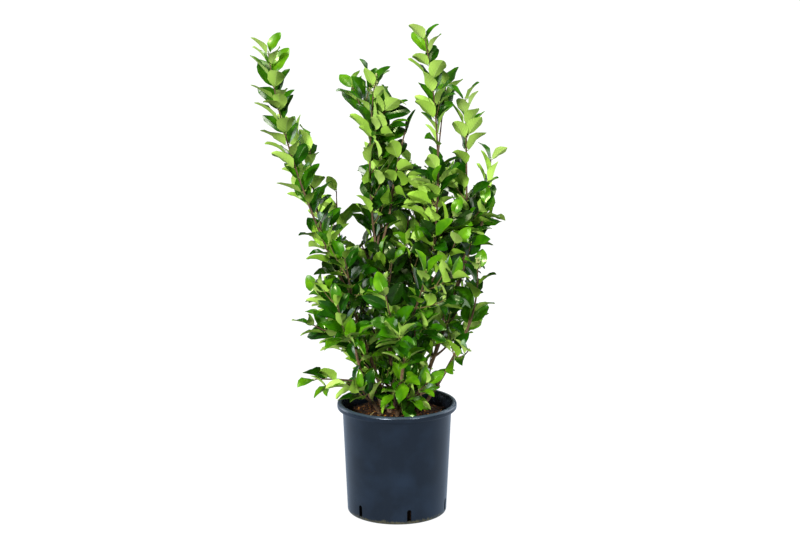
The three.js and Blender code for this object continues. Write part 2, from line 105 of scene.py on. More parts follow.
# A tree that gives one geometry, with named inputs by the kinds of their sockets
def newTree(name, output, inputs):
    tree = bpy.data.node_groups.new(name, "GeometryNodeTree")
    for label, kind in inputs.items():
        tree.interface.new_socket(label, in_out="INPUT", socket_type="NodeSocket" + kind)
    tree.interface.new_socket(output, in_out="OUTPUT", socket_type="NodeSocketGeometry")
    add = partial(addNode, tree)
    return tree, add, add("NodeGroupInput").outputs


def linkedObject(name, data, collection=None):
    made = bpy.data.objects.new(name, data)
    (collection or bpy.context.scene.collection).objects.link(made)
    return made


def meshFrom(name, points, edges=(), faces=()):
    mesh = bpy.data.meshes.new(name)
    mesh.from_pydata([tuple(p) for p in points], edges, faces)
    return mesh


def meshFromShape(name, shape):
    mesh = bpy.data.meshes.new(name)
    shape.to_mesh(mesh)
    shape.free()
    return mesh


def setAttribute(mesh, name, kind, values, domain="POINT"):
    field = "vector" if kind == "FLOAT_VECTOR" else "value"
    mesh.attributes.new(name, kind, domain).data.foreach_set(field, np.array(values).ravel())


# Keeps what a modifier makes as the piece's plain mesh
def keepModified(piece, modifier):
    depsgraph = bpy.context.evaluated_depsgraph_get()
    made = bpy.data.meshes.new_from_object(piece.evaluated_get(depsgraph), depsgraph=depsgraph)
    piece.modifiers.remove(modifier)
    made.name = piece.name
    piece.data = made


# Runs a node tree on a piece, with the inputs set by their identifiers
def growByNodes(piece, tree, values):
    modifier = piece.modifiers.new("growth", "NODES")
    modifier.node_group = tree
    sockets = {s.name: s.identifier for s in tree.interface.items_tree if s.in_out == "INPUT"}
    for name, value in values.items():
        modifier[sockets[name]] = value
    keepModified(piece, modifier)
    return piece


def finishPiece(piece, slot, nodes=()):
    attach(piece, "root")
    if nodes:
        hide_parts(*nodes)
    triangles = sum(len(p.vertices) - 2 for p in piece.data.polygons)
    print("made", piece.name, triangles, "triangles")


# Seeded numbers from 0 to 1, the same run as the solids use
def seededRandom(seed):
    modulus = 2147483647
    state = seed * 7919 + 104729
    while True:
        state = state * 16807 % modulus
        yield state / modulus


def mixed(low, high, share):
    return low + (high - low) * share


def clamped(value, low=0, high=1):
    return min(high, max(low, value))


# Camera at the photograph's viewing angle
view = {
    "lens": 81,  # on a sensor 36 wide
    "sensor": 36,
    "place": (6.3, -3629, 1276.6),
    "pitch": 11.95,  # below level
}


def makeCamera():
    lens = bpy.data.cameras.new("photoCamera")
    lens.lens = view["lens"]
    lens.sensor_width = view["sensor"]
    camera = linkedObject("photoCamera", lens)
    camera.location = Vector(view["place"]) * mm
    camera.rotation_euler = (math.radians(90 - view["pitch"]), 0, 0)
    bpy.context.scene.camera = camera
    print("made the camera")


makeCamera()


# Light and floor: soft keys from all round, strongest from the front left, two side strips, a pale floor
studio = {
    "keys": {
        "keyLeft": {"strength": 4.0, "width": 8, "azimuth": -24, "height": 22},
        "keyRight": {"strength": 1.9, "width": 14, "azimuth": 38, "height": 30},
        "keyTop": {"strength": 2.2, "width": 30, "azimuth": 0, "height": 76},
        "keyBack": {"strength": 0.8, "width": 20, "azimuth": 165, "height": 40},
    },
    "strips": {
        "stripLeft": {"power": 14, "size": (700, 1700), "place": (-1500, 860, 700)},
        "stripRight": {"power": 18, "size": (1100, 1700), "place": (1500, 760, 700)},
    },
    "stripColour": "#f0f6ff",
    "white": "#ffffff",
    "skyStrength": 0.1,
    "skyShown": 1.0,
    "floorHalf": 30000,
    "floorDrop": 0.3,
    "floorColour": "#505050",
    "floorGlow": 0.95,  # seen by the camera alone, so that the floor is white and its shadow faint
    "floorSheen": 0.7,  # seen in glossy surfaces alone
    "sheenColour": "#bcd4f2",
}


def makeSky(world):
    world.use_nodes = True
    world.node_tree.nodes.clear()
    add = partial(addNode, world.node_tree)
    rays = add("ShaderNodeLightPath").outputs
    lighting = add("ShaderNodeBackground", {"Color": studio["white"], "Strength": studio["skyStrength"]})
    shown = add("ShaderNodeBackground", {"Color": studio["white"], "Strength": studio["skyShown"]})
    sky = add("ShaderNodeMixShader", {0: rays["Is Camera Ray"], 1: lighting, 2: shown})
    add("ShaderNodeOutputWorld", {"Surface": sky})


def makeLights():
    for name, key in studio["keys"].items():
        sun = bpy.data.lights.new(name, "SUN")
        sun.energy = key["strength"]
        sun.angle = math.radians(key["width"])
        tilt = math.radians(90 - key["height"])
        linkedObject(name, sun).rotation_euler = (tilt, 0, math.radians(key["azimuth"]))
    for name, strip in studio["strips"].items():
        lamp = bpy.data.lights.new(name, "AREA")
        lamp.shape = "RECTANGLE"
        lamp.size, lamp.size_y = (side * mm for side in strip["size"])
        lamp.energy = strip["power"]
        lamp.color = linearColour(studio["stripColour"])[:3]
        lit = linkedObject(name, lamp)
        lit.location = Vector(strip["place"]) * mm
        aim = Vector((0, 0, strip["place"][2])) * mm - lit.location
        lit.rotation_euler = aim.to_track_quat("-Z", "Y").to_euler()


def makeFloor():
    half, drop = studio["floorHalf"] * mm, -studio["floorDrop"] * mm
    corners = [(x * half, y * half, drop) for x, y in ((-1, -1), (1, -1), (1, 1), (-1, 1))]
    floor = linkedObject("studioFloor", meshFrom("studioFloor", corners, faces=[(0, 1, 2, 3)]))
    paint, add, shader = newMaterial("paleStudioPaint")
    rays = add("ShaderNodeLightPath").outputs
    glow = add("ShaderNodeMath", {0: rays["Is Camera Ray"], 1: studio["floorGlow"]}, operation="MULTIPLY")
    both = add("ShaderNodeMath", {
        0: rays["Is Glossy Ray"], 1: studio["floorSheen"], 2: glow}, operation="MULTIPLY_ADD")
    colour = add("ShaderNodeMixRGB", {
        "Fac": rays["Is Glossy Ray"], "Color1": studio["white"], "Color2": studio["sheenColour"]})
    setInputs(shader, {
        "Base Color": studio["floorColour"], "Roughness": 0.9, "Specular IOR Level": 0.1,
        "Emission Color": colour, "Emission Strength": both})
    floor.data.materials.append(paint)


bpy.context.scene.view_settings.view_transform = "Standard"
bpy.context.scene.world = bpy.data.worlds.new("softStudio")
makeSky(bpy.context.scene.world)
makeLights()
makeFloor()
print("made the studio")


# Polypropylene, injection moulded and satin: blue-black, with faint streaks and soil along the foot
potPlastic = {
    "colours": ("#03050a", "#111a26"),
    "gloss": "#d5e7fb",
    "dustAndSheen": "#3b4956",  # dust on what faces up, paler and bluer than the plastic as a painted reflection of the bright surroundings
    "dustRoughness": 0.25,  # added where it lies
    "soil": "#57512f",
    "soilHeight": 9,  # on average, where the noise is a half
    "soilFleck": 7,
    "soilEdge": 8,
    "cloud": 60,  # size of the paler clouds
    "streak": 5,  # width of the streaks
    "streakShrink": 0.06,  # of heights, which draws the streaks out
    "grain": 1.4,  # skin of the mould, drawn coarse enough to show
    "roughness": (0.18, 0.26),
}


def makePotPlastic():
    plastic = potPlastic
    material, add, shader = newMaterial("mouldedPolypropylene")
    place = add("ShaderNodeTexCoord").outputs["Object"]
    tint = mottled(add, place, plastic["cloud"], plastic["colours"], (0.42, 0.72), Detail=3.0)[1]
    # What faces up turns a paler blue-grey: dust, and a painted reflection of the bright surroundings,
    # strongest on the rim. The dust also dulls the gloss
    facing = add("ShaderNodeSeparateXYZ", {0: add("ShaderNodeNewGeometry").outputs["Normal"]})
    dustAndSheenShare = add("ShaderNodeMapRange", {
        "Value": facing.outputs["Z"], "From Min": 0.1, "From Max": 0.9, "To Max": 0.9})
    dustAndSheenTint = add("ShaderNodeMixRGB", {"Fac": dustAndSheenShare, "Color1": tint, "Color2": plastic["dustAndSheen"]})
    ragged = add("ShaderNodeTexNoise", {
        "Vector": place, "Scale": 1 / (plastic["soilFleck"] * mm), "Detail": 4.0})
    reach = add("ShaderNodeMath", {0: ragged, 1: 2 * plastic["soilHeight"] * mm}, operation="MULTIPLY")
    height = add("ShaderNodeSeparateXYZ", {0: place}).outputs["Z"]
    under = add("ShaderNodeMath", {0: reach, 1: height}, operation="SUBTRACT")
    soiled = add("ShaderNodeMapRange", {
        "Value": under, "From Max": plastic["soilEdge"] * mm, "To Max": 0.75})
    colour = add("ShaderNodeMixRGB", {"Fac": soiled, "Color1": dustAndSheenTint, "Color2": plastic["soil"]})
    drawn = add("ShaderNodeMapping", {"Vector": place, "Scale": (1, 1, plastic["streakShrink"])})
    streak = add("ShaderNodeTexNoise", {
        "Vector": drawn, "Scale": 1 / (plastic["streak"] * mm), "Detail": 2.0})
    low, high = plastic["roughness"]
    rough = add("ShaderNodeMapRange", {
        "Value": streak, "From Min": 0.3, "From Max": 0.7, "To Min": low, "To Max": high})
    duller = add("ShaderNodeMath", {
        0: dustAndSheenShare, 1: plastic["dustRoughness"], 2: rough}, operation="MULTIPLY_ADD")
    grain = add("ShaderNodeTexNoise", {
        "Vector": place, "Scale": 1 / (plastic["grain"] * mm), "Detail": 2.0})
    bump = add("ShaderNodeBump", {"Height": grain, "Strength": 0.12, "Distance": 0.2 * mm})
    setInputs(shader, {
        "Base Color": colour, "Roughness": duller, "Normal": bump, "IOR": 1.53,
        "Specular IOR Level": 0.6, "Specular Tint": plastic["gloss"]})
    return material


# Pot: a lathed wall with a rolled rim and six drain slots
pot = {
    "height": 236,
    "footRadius": 104,
    "shoulderRadius": 114,
    "wall": 3,
    "floor": 4,
    "rimRadius": 125,
    "rimInnerRadius": 116,
    "rimHeight": 13,
    "rimRounds": (3, 5, 2),  # under, over and inside
    "rimSteps": (4, 7, 4),
    "neck": 6,  # below the rim
    "neckRound": 2,
    "neckSteps": 3,
    "footRound": 4,
    "footSteps": 5,
    "footRing": 12,  # width of the ring that it stands on
    "footHollow": 2,
    "outerRings": (6, 45, 90, 135, 180),
    "innerRings": (180, 120, 60),
    "turns": 160,
    "sharpAngle": 34,
    "slots": 6,
    "slotWidth": 9,
    "slotHeight": 26,
    "slotBottom": 6,
    "firstSlot": 14,  # from the front towards +X
    "slotCut": 18,
    "slotSteps": 8,
}


def potWallRadius(height):
    return mixed(pot["footRadius"], pot["shoulderRadius"], height / (pot["height"] - pot["rimHeight"]))


def arcPoints(centre, radius, start, end, steps):
    angles = [math.radians(mixed(start, end, i / steps)) for i in range(steps + 1)]
    return [(centre[0] + radius * math.cos(a), centre[1] + radius * math.sin(a)) for a in angles]


def ringPoints(radius, turns):
    return arcPoints((0, 0), radius, 0, 360, turns)[:-1]


# A closed mesh of rings about Z, from a point on the axis to another one
def ringedMesh(name, bottom, rings, top):
    turns = len(rings[0])
    points = [(0, 0, bottom), *(point for ring in rings for point in ring), (0, 0, top)]
    last = len(points) - 1
    faces = []
    for turn in range(turns):
        after = (turn + 1) % turns
        faces.append((0, 1 + after, 1 + turn))
        for here in range(1, last - turns, turns):
            above = here + turns
            faces.append((here + turn, here + after, above + after, above + turn))
        faces.append((last - turns + turn, last - turns + after, last))
    return meshFrom(name, [Vector(p) * mm for p in points], faces=faces)


def potMesh():
    top, wall, rim, footRound = pot["height"], pot["wall"], pot["rimRadius"], pot["footRound"]
    shoulder = top - pot["rimHeight"]
    (under, over, inside), (underSteps, overSteps, insideSteps) = pot["rimRounds"], pot["rimSteps"]
    neckRound = pot["neckRound"]
    neckCentre = (pot["shoulderRadius"] + neckRound, shoulder - neckRound)
    footCentre = (potWallRadius(footRound) - footRound, footRound)
    ring = pot["footRadius"] - footRound - pot["footRing"]
    profile = [(ring - pot["footHollow"], pot["footHollow"]), (ring, 0)]
    profile += arcPoints(footCentre, footRound, -90, 0, pot["footSteps"])
    profile += [(potWallRadius(h), h) for h in (*pot["outerRings"], shoulder - pot["neck"])]
    profile += arcPoints(neckCentre, neckRound, 180, 90, pot["neckSteps"])
    profile += arcPoints((rim - under, shoulder + under), under, -90, 0, underSteps)
    profile += arcPoints((rim - over, top - over), over, 0, 90, overSteps)
    profile += arcPoints((pot["rimInnerRadius"] + inside, top - inside), inside, 90, 180, insideSteps)
    profile += [(potWallRadius(h) - wall, h) for h in (shoulder - wall, *pot["innerRings"], pot["floor"])]
    rings = [[(x, y, height) for x, y in ringPoints(radius, pot["turns"])] for radius, height in profile]
    return ringedMesh("potMoulding", pot["footHollow"], rings, pot["floor"])


def slotCutters():
    half = pot["slotWidth"] / 2
    low, high = pot["slotBottom"], pot["slotBottom"] + pot["slotHeight"] - half
    outline = [(-half, low), (half, low)] + arcPoints((0, high), half, 0, 180, pot["slotSteps"])
    near = pot["footRadius"] - pot["slotCut"] / 2
    shape = bmesh.new()
    for slot in range(pot["slots"]):
        turned = Matrix.Rotation(math.radians(pot["firstSlot"] + 360 * slot / pot["slots"]), 4, "Z")
        inner, outer = [[shape.verts.new(turned @ (Vector((x, -depth, z)) * mm)) for x, z in outline]
                        for depth in (near, near + pot["slotCut"])]
        shape.faces.new(inner[::-1])
        shape.faces.new(outer)
        for a, b, c, d in zip(inner, inner[1:] + inner[:1], outer[1:] + outer[:1], outer):
            shape.faces.new((a, b, c, d))
    bmesh.ops.recalc_face_normals(shape, faces=shape.faces)
    return meshFromShape("slotCutters", shape)


def makePot():
    piece = linkedObject("potMoulding", potMesh())
    cutter = linkedObject("slotCutters", slotCutters())
    cut = piece.modifiers.new("slots", "BOOLEAN")
    cut.operation = "DIFFERENCE"
    cut.solver = "EXACT"
    cut.object = cutter
    keepModified(piece, cut)
    bpy.data.objects.remove(cutter)
    piece.data.materials.clear()
    piece.data.materials.append(makePotPlastic())
    piece.data.shade_smooth()
    piece.data.set_sharp_from_angle(angle=math.radians(pot["sharpAngle"]))
    finishPiece(piece, "pot_plastic", ["pot"])


makePot()


# Composted bark, moist: dark crumbs with russet and amber chips of bark on top
compost = {
    "top": 212,
    "edgeDrop": 6,
    "flatRadius": 78,
    "edgeLevel": 200,  # where the wall ends the fall
    "gap": 0.3,
    "slotHollow": (9, 40),  # washed out behind the slots: how far in, and how high
    "sideTop": 180,
    "rings": 30,
    "turns": 96,
    "lumps": ((16, 3.0), (6, 1.6), (2.6, 0.7)),  # size and height
    "lumpSlice": 7,  # through the noise, in sizes
    "colours": ("#180d08", "#36200f"),
    "fleck": 3,
}
chips = {
    "Dark": {"each": 24000, "seed": 3, "colours": ("#1c0f09", "#362012"), "size": (0.5, 1.2)},
    "Russet": {"each": 15000, "seed": 8, "colours": ("#3a2110", "#5c3817"), "size": (0.45, 1.1)},
    "Amber": {"each": 6000, "seed": 14, "colours": ("#8c561d", "#b27830"), "size": (0.35, 0.85)},
}
chipShapes = {
    "shard": (11, 5, 2.2),
    "block": (7, 5, 3.4),
    "splinter": (17, 2.4, 1.6),
    "flake": (9, 7, 1.4),
    "crumb": (4.5, 4, 3),
}
chipHabit = {
    "firstSeed": 60,
    "corners": (0.55, 1.15),  # pushed in or out by these shares
    "fleck": 6,
    "reach": 102,
    "leastRise": 0.3,  # of the faces that carry chips
    "tilt": 0.5,  # radians
}


def makeCompostMaterial(name, colours, size):
    material, add, shader = newMaterial(name)
    place = add("ShaderNodeTexCoord").outputs["Object"]
    fleck, colour = mottled(add, place, size, colours, (0.35, 0.68), Detail=4.0, Roughness=0.7)
    bump = add("ShaderNodeBump", {"Height": fleck, "Strength": 0.5, "Distance": 0.6 * mm})
    setInputs(shader, {
        "Base Color": colour, "Normal": bump, "Roughness": 0.86, "Specular IOR Level": 0.25})
    return material


def compostHeight(x, y):
    flat = compost["flatRadius"]
    fall = clamped((math.hypot(x, y) - flat) / (potWallRadius(compost["edgeLevel"]) - flat))
    lumps = sum(noise.noise(Vector((x, y, compost["lumpSlice"] * size)) / size) * rise
                for size, rise in compost["lumps"])
    return compost["top"] - compost["edgeDrop"] * fall + lumps


def compostMesh():
    bottom = pot["floor"] + compost["gap"]
    turns, count = compost["turns"], compost["rings"]
    hollow, hollowTop = compost["slotHollow"]
    rings = []
    for height in (bottom, hollowTop, hollowTop + hollow, compost["sideTop"]):
        inset = hollow if height <= hollowTop else 0
        radius = potWallRadius(height) - pot["wall"] - compost["gap"] - inset
        rings.append([(x, y, height) for x, y in ringPoints(radius, turns)])
    edge = potWallRadius(compost["top"]) - pot["wall"] - compost["gap"]
    for ring in range(count):
        around = ringPoints(edge * (1 - ring / count), turns)
        rings.append([(x, y, compostHeight(x, y)) for x, y in around])
    return ringedMesh("compostBed", bottom, rings, compostHeight(0, 0))


# Chips of bark: a block with its corners pushed about by seeded numbers
def makeChipShapes():
    shapes = bpy.data.collections.new("chipShapes")
    faces = [(0, 2, 3, 1), (4, 5, 7, 6), (0, 1, 5, 4), (2, 6, 7, 3), (0, 4, 6, 2), (1, 3, 7, 5)]
    for order, (name, sizes) in enumerate(chipShapes.items()):
        draw = seededRandom(chipHabit["firstSeed"] + order)
        points = []
        for corner in range(8):
            signs = [1 if corner & bit else -1 for bit in (1, 2, 4)]
            points.append([s * size / 2 * mixed(*chipHabit["corners"], next(draw)) * mm
                           for s, size in zip(signs, sizes)])
        linkedObject("chip" + name.capitalize(), meshFrom(name, points, faces=faces), shapes)
    return shapes


# Scatters chips over the upward faces of a bed and lays them down nearly flat
def makeChipTree():
    tree, add, given = newTree("scatteredChips", "Chips", {
        "Bed": "Geometry", "Shapes": "Collection", "Density": "Float", "Smallest": "Float",
        "Largest": "Float", "Seed": "Int", "Chip": "Material"})
    rise = add("ShaderNodeSeparateXYZ", {0: add("GeometryNodeInputNormal")})
    upward = add("FunctionNodeCompare", {
        0: rise.outputs["Z"], 1: chipHabit["leastRise"]}, operation="GREATER_THAN")
    place = add("GeometryNodeInputPosition")
    flat = add("ShaderNodeVectorMath", {0: place, 1: (1, 1, 0)}, operation="MULTIPLY")
    out = add("ShaderNodeVectorMath", {0: flat}, operation="LENGTH")
    inside = add("FunctionNodeCompare", {
        0: out.outputs["Value"], 1: chipHabit["reach"] * mm}, operation="LESS_THAN")
    chosen = add("FunctionNodeBooleanMath", {0: upward, 1: inside})
    spread = add("GeometryNodeDistributePointsOnFaces", {
        "Mesh": given["Bed"], "Selection": chosen, "Density": given["Density"], "Seed": given["Seed"]})
    shapes = add("GeometryNodeCollectionInfo", {
        "Collection": given["Shapes"], "Separate Children": True, "Reset Children": True})
    pick = add("FunctionNodeRandomValue", {4: 0, 5: len(chipShapes) - 1, "Seed": 1}, data_type="INT")
    tilt = chipHabit["tilt"]
    turn = add("FunctionNodeRandomValue", {
        0: (-tilt, -tilt, 0), 1: (tilt, tilt, 2 * math.pi), "Seed": 2}, data_type="FLOAT_VECTOR")
    scale = add("FunctionNodeRandomValue", {
        2: given["Smallest"], 3: given["Largest"], "Seed": 3}, data_type="FLOAT")
    laid = add("GeometryNodeInstanceOnPoints", {
        "Points": spread, "Instance": shapes, "Pick Instance": True,
        "Instance Index": pick.outputs[2], "Rotation": turn, "Scale": scale.outputs[1]})
    real = add("GeometryNodeRealizeInstances", {"Geometry": laid})
    skin = add("GeometryNodeSetMaterial", {"Geometry": real, "Material": given["Chip"]})
    add("NodeGroupOutput", {"Chips": skin})
    return tree


def makeCompost():
    bed = linkedObject("compostBed", compostMesh())
    bed.data.materials.append(makeCompostMaterial("compostedBark", compost["colours"], compost["fleck"]))
    bed.data.shade_smooth()
    finishPiece(bed, "bark_compost", ["compost"])
    tree, shapes = makeChipTree(), makeChipShapes()
    for name, kind in chips.items():
        piece = linkedObject("barkChips" + name, bed.data.copy())
        growByNodes(piece, tree, {
            "Shapes": shapes,
            "Density": float(kind["each"]),
            "Smallest": kind["size"][0],
            "Largest": kind["size"][1],
            "Seed": kind["seed"],
            "Chip": makeCompostMaterial("barkChip" + name, kind["colours"], chipHabit["fleck"]),
        })
        finishPiece(piece, "bark_compost")


makeCompost()


# Limbs, as the solids have them: canes from the compost, boughs that fork from them, leafy shoots
canes = {
    "cane_left": dict(foot=(-12, 2), top=(-98, -44, 476), bow=(-4, 0, 6), radii=(4.4, 3)),
    "cane_mid": dict(foot=(-7, 26), top=(-45, 30, 566), bow=(6, 4, 0), radii=(4.2, 2.9)),
    "cane_centre": dict(foot=(13, -5), top=(75, -30, 560), bow=(2, 6, 0), radii=(4.4, 3)),
    "cane_right": dict(foot=(24, 19), top=(143, 20, 566), bow=(14, -6, 0), radii=(4.4, 2.9)),
    "cane_low_right": dict(foot=(40, -2), top=(146, -34, 402), bow=(4, 4, -6), radii=(3.8, 2.8)),
    "cane_front": dict(foot=(0, -26), top=(28, -118, 440), bow=(-4, -14, -10), radii=(4, 2.8)),
    "cane_front_left": dict(foot=(-28, -18), top=(-84, -92, 372), bow=(-6, -8, -8), radii=(3.8, 2.7)),
    "cane_back_left": dict(foot=(-28, 36), top=(-106, 142, 480), bow=(-6, 10, -10), radii=(4, 2.8)),
    "cane_back": dict(foot=(4, 48), top=(12, 168, 500), bow=(4, 12, -10), radii=(4, 2.8)),
    "cane_back_right": dict(foot=(34, 42), top=(116, 134, 474), bow=(10, 8, -10), radii=(4, 2.8)),
}
boughs = {
    "bough_left_inner": dict(on="cane_left", at=0.86, tip=(-138, -18, 552), radii=(2.6, 2.1)),
    "bough_mid_right": dict(on="cane_mid", at=0.9, tip=(-14, 16, 636), radii=(2.6, 2.1)),
    "bough_right_outer": dict(on="cane_right", at=0.84, tip=(172, 62, 586), radii=(2.5, 2)),
    "bough_back_mid": dict(on="cane_back", at=0.8, tip=(-30, 176, 560), radii=(2.5, 2)),
}
shoots = {
    "shoot_left_outer": dict(on="cane_left", tip=(-252, -82, 968), bow=(-26, 0, 10), twigs=0.2),
    "shoot_left_inner": dict(on="bough_left_inner", tip=(-176, -12, 786), bow=(-10, 0, 0), twigs=0.9),
    "shoot_left_front": dict(on="cane_left", at=0.93, tip=(-104, -128, 568), bow=(4, -10, -8)),
    "shoot_mid_tall": dict(on="cane_mid", tip=(-46, 40, 892), bow=(-10, 0, 0), twigs=0.9),
    "shoot_mid_left": dict(on="cane_mid", at=0.95, tip=(-92, 82, 884), bow=(26, 14, 0), twigs=0.9),
    "shoot_mid_right": dict(on="bough_mid_right", tip=(22, 0, 822), bow=(-4, 0, 0), twigs=0.9),
    "shoot_centre_tall": dict(on="cane_centre", tip=(56, -52, 994), bow=(16, 0, 0), twigs=0.4),
    "shoot_centre_right": dict(on="cane_centre", at=0.93, tip=(100, 44, 892), bow=(-4, 20, 0)),
    "shoot_right_tall": dict(on="cane_right", tip=(138, 0, 868), bow=(2, 8, 0), twigs=0.4),
    "shoot_right_outer": dict(on="bough_right_outer", tip=(196, 96, 732), bow=(4, 0, -4), twigs=0.2),
    "shoot_low_right": dict(on="cane_low_right", tip=(164, -46, 528), bow=(6, 0, -4)),
    "shoot_front_right": dict(on="cane_front", tip=(57, -177, 550), bow=(2, -6, -4)),
    "shoot_front_mid": dict(on="cane_front", at=0.8, tip=(-22, -186, 506), bow=(-4, -8, -10)),
    "shoot_front_left": dict(on="cane_front_left", tip=(-117, -155, 480), bow=(-4, -4, -8)),
    "shoot_back_left": dict(on="cane_back_left", tip=(-130, 186, 650), bow=(-6, 6, -6)),
    "shoot_back_mid": dict(on="bough_back_mid", tip=(-44, 192, 740), bow=(-6, 6, 0)),
    "shoot_back": dict(on="cane_back", tip=(30, 204, 710), bow=(4, 10, -6)),
    "shoot_back_right": dict(on="cane_back_right", tip=(138, 180, 650), bow=(8, 8, -6)),
    "spray_left_low": dict(on="cane_left", at=0.58, tip=(-171, -59, 414), bow=(0, 0, -6)),
    "spray_left_mid": dict(on="cane_left", at=0.74, tip=(-154, 8, 462), bow=(0, 0, -6)),
    "spray_left_rim": dict(on="cane_left", at=0.24, tip=(-170, -40, 294), bow=(0, 0, 4)),
    "spray_right_low": dict(on="cane_low_right", at=0.7, tip=(146, -106, 374)),
    "spray_right_rim": dict(on="cane_low_right", at=0.36, tip=(114, -72, 316), bow=(0, 0, -4)),
    "spray_right_mid": dict(on="cane_right", at=0.5, tip=(146, 34, 466)),
    "spray_right_back": dict(on="cane_back_right", at=0.42, tip=(152, 86, 392)),
    "spray_front_low": dict(on="cane_front", at=0.24, tip=(62, -94, 302), twigs=0.9),
    "spray_front_rim": dict(on="cane_front_left", at=0.3, tip=(-70, -112, 292), twigs=0.9),
    "spray_back_low": dict(on="cane_back", at=0.34, tip=(44, 160, 332), twigs=0.9),
    "spray_back_rim": dict(on="cane_back_left", at=0.3, tip=(-112, 116, 316), twigs=0.9),
    "spray_back_side": dict(on="cane_back_left", at=0.66, tip=(-164, 108, 446)),
    "spray_body_left": dict(on="cane_mid", at=0.4, tip=(-70, -24, 440), bow=(-6, 0, -8), twigs=0.9),
    "spray_body_mid": dict(on="cane_mid", at=0.62, tip=(-10, -34, 540), twigs=0.9),
    "spray_body_back": dict(on="cane_mid", at=0.76, tip=(-92, 92, 596)),
    "spray_body_front": dict(on="cane_centre", at=0.36, tip=(36, -84, 428), twigs=0.9),
    "spray_body_centre": dict(on="cane_centre", at=0.66, tip=(20, 20, 566)),
    "spray_body_right": dict(on="cane_centre", at=0.8, tip=(118, -72, 588)),
    "spray_right_front": dict(on="cane_right", at=0.7, tip=(150, -44, 580)),
    "spray_right_inner": dict(on="cane_right", at=0.32, tip=(70, 66, 420), twigs=0.9),
    "spray_back_inner": dict(on="cane_back", at=0.6, tip=(62, 130, 520)),
    "spray_foot_left": dict(on="cane_mid", at=0.14, tip=(-66, 0, 316), bow=(0, 0, -4), twigs=0.9),
    "spray_foot_right": dict(on="cane_right", at=0.14, tip=(80, 64, 300), bow=(0, 0, -4), twigs=0.9),
    "spray_foot_front": dict(on="cane_centre", at=0.14, tip=(14, -70, 300), twigs=0.9),
    "spray_foot_back": dict(on="cane_back", at=0.14, tip=(-18, 96, 320), bow=(0, 0, -4), twigs=0.9),
}
# Low twigs whose leaves hang over the compost: the cane, how far up it, the turn in degrees, the length
footTwigs = (
    ("cane_front_left", 34, 200, 30),
    ("cane_front_left", 52, 300, 34),
    ("cane_front", 36, 205, 32),
    ("cane_front", 56, 330, 36),
    ("cane_front", 82, 235, 24),
    ("cane_front", 118, 290, 24),
    ("cane_centre", 40, 290, 34),
    ("cane_low_right", 40, 300, 28),
    ("cane_back", 40, 110, 32),
    ("cane_back_left", 36, 160, 32),
    ("cane_back_right", 38, 60, 32),
)
# Sky that shows through the crown: centre x and height, half width and half height on the plane y = 0
openings = (
    (-176, 904, 31, 68), (-126, 798, 35, 80), (-110, 729, 27, 30), (-106, 669, 27, 13),
    (-84, 770, 14, 40), (-88, 598, 16, 20), (-20, 602, 3, 20), (33, 682, 5, 9),
    (101, 722, 5, 9), (-215, 640, 22, 36), (230, 690, 24, 60), (198, 545, 14, 14),
    (194, 478, 12, 16), (142, 425, 9, 8), (115, 403, 4, 10), (-109, 418, 7, 6),
    (165, 362, 20, 18), (58, 322, 5, 4), (-110, 306, 20, 18), (112, 280, 18, 14),
    (43, 788, 17, 53), (14, 910, 25, 34), (101, 794, 12, 42), (155, 724, 10, 46),
    (89, 330, 19, 21), (-164, 330, 46, 21), (186, 292, 58, 53), (213, 355, 50, 34),
    (223, 429, 29, 42), (-232, 555, 41, 63), (-66, 222, 29, 17), (95, 235, 25, 19),
)
stemHabit = {
    "firstSeed": 201,
    "sink": 8,  # of a cane's foot in the compost
    "flareGrowth": 0.45,
    "flareLength": 14,
    "usualSag": (0, 0, -8),
    "shootRadii": (2.5, 1.1),
    "pairGap": 26,  # between pairs of leaves
    "shortGap": 22,
    "pairsOnShort": 4.5,
    "bareFoot": 12,
    "bareTip": 1,
    "firstTurns": (25, 65),  # of a shoot's lowest pair, so that pairs stand diagonally to the view
    "twigEvery": 2,
    "twigReach": 0.7,
    "twigLengths": (40, 84),
    "sprayTwigLengths": (30, 62),
    "twigAngle": 46,
    "footAngle": 62,
    "twigRadii": (1.5, 0.8),
    "twigGap": 22,
    "twigRise": 0.12,
    "twigSag": 0.05,
    "twigClear": 5,
    "testShares": (0.35, 0.55, 0.75, 1),  # of a twig's length, where it has to be clear
    "caneBareFoot": 60,
    "caneTwigGap": 34,
    "caneTwigLengths": (36, 64),
    "spurShare": 0.26,  # of the nodes without a twig
    "spurReach": 0.85,
    "spurFloor": 400,  # no spurs below this height
    "spurLengths": (16, 30),
    "spurAngle": 32,
    "spurBareFoot": 7,
    "spurClear": 3,
    "step": 14,  # between points of a path
    "fewestSteps": 3,
    "nodeSwell": 0.22,
    "swellReach": 4,
}
leafHabit = {
    "length": 60,
    "widthRatio": 0.62,
    "cup": 0.12,  # of the width
    "curl": 0.12,  # of the length
    "stalk": 6,
    "stalkRadii": (1.0, 0.7),
    "stalkLean": 0.5,
    "stalkBow": 0.6,
    "stalkSteps": 3,
    "levelDivergence": 50,
    "uprightDivergence": 42,
    "tipDivergence": 32,
    "heights": (500, 820),  # what follows changes from the lower height to the upper one
    "rise": (0.5, 1.0),  # how far leaves on level stems turn upwards
    "facing": (-0.7, 0.35),  # how far leaves turn their upper sides to the crown's axis
    "levelling": (1.0, 0.7),  # how far leaves on level stems lie flat
    "axis": (10, 60),
    "scatters": (0.6, 22, 0.9),  # of the turn in radians, the divergence, and the roll in radians
    "scatterGrowth": 0.35,  # with each new try
    "tries": 8,
    "sizes": (0.84, 1.12),
    "tipShrink": 0.24,
    "tipPairs": 2.2,
    "footDroop": 1.3,
    "overCompost": 3,
    "overRim": 3,
    "insideRim": 8,
    "clear": 0.5,
    "overReach": 8,  # past the box of the solids
    "cell": 70,
}


# A path is a bowed curve: foot, middle pull and tip
def bowedPath(foot, tip, bow=(0, 0, 0)):
    return foot, (foot + tip) / 2 + 2 * Vector(bow), tip


def pointAt(path, share):
    foot, pull, tip = path
    return foot * (1 - share) ** 2 + pull * 2 * share * (1 - share) + tip * share ** 2


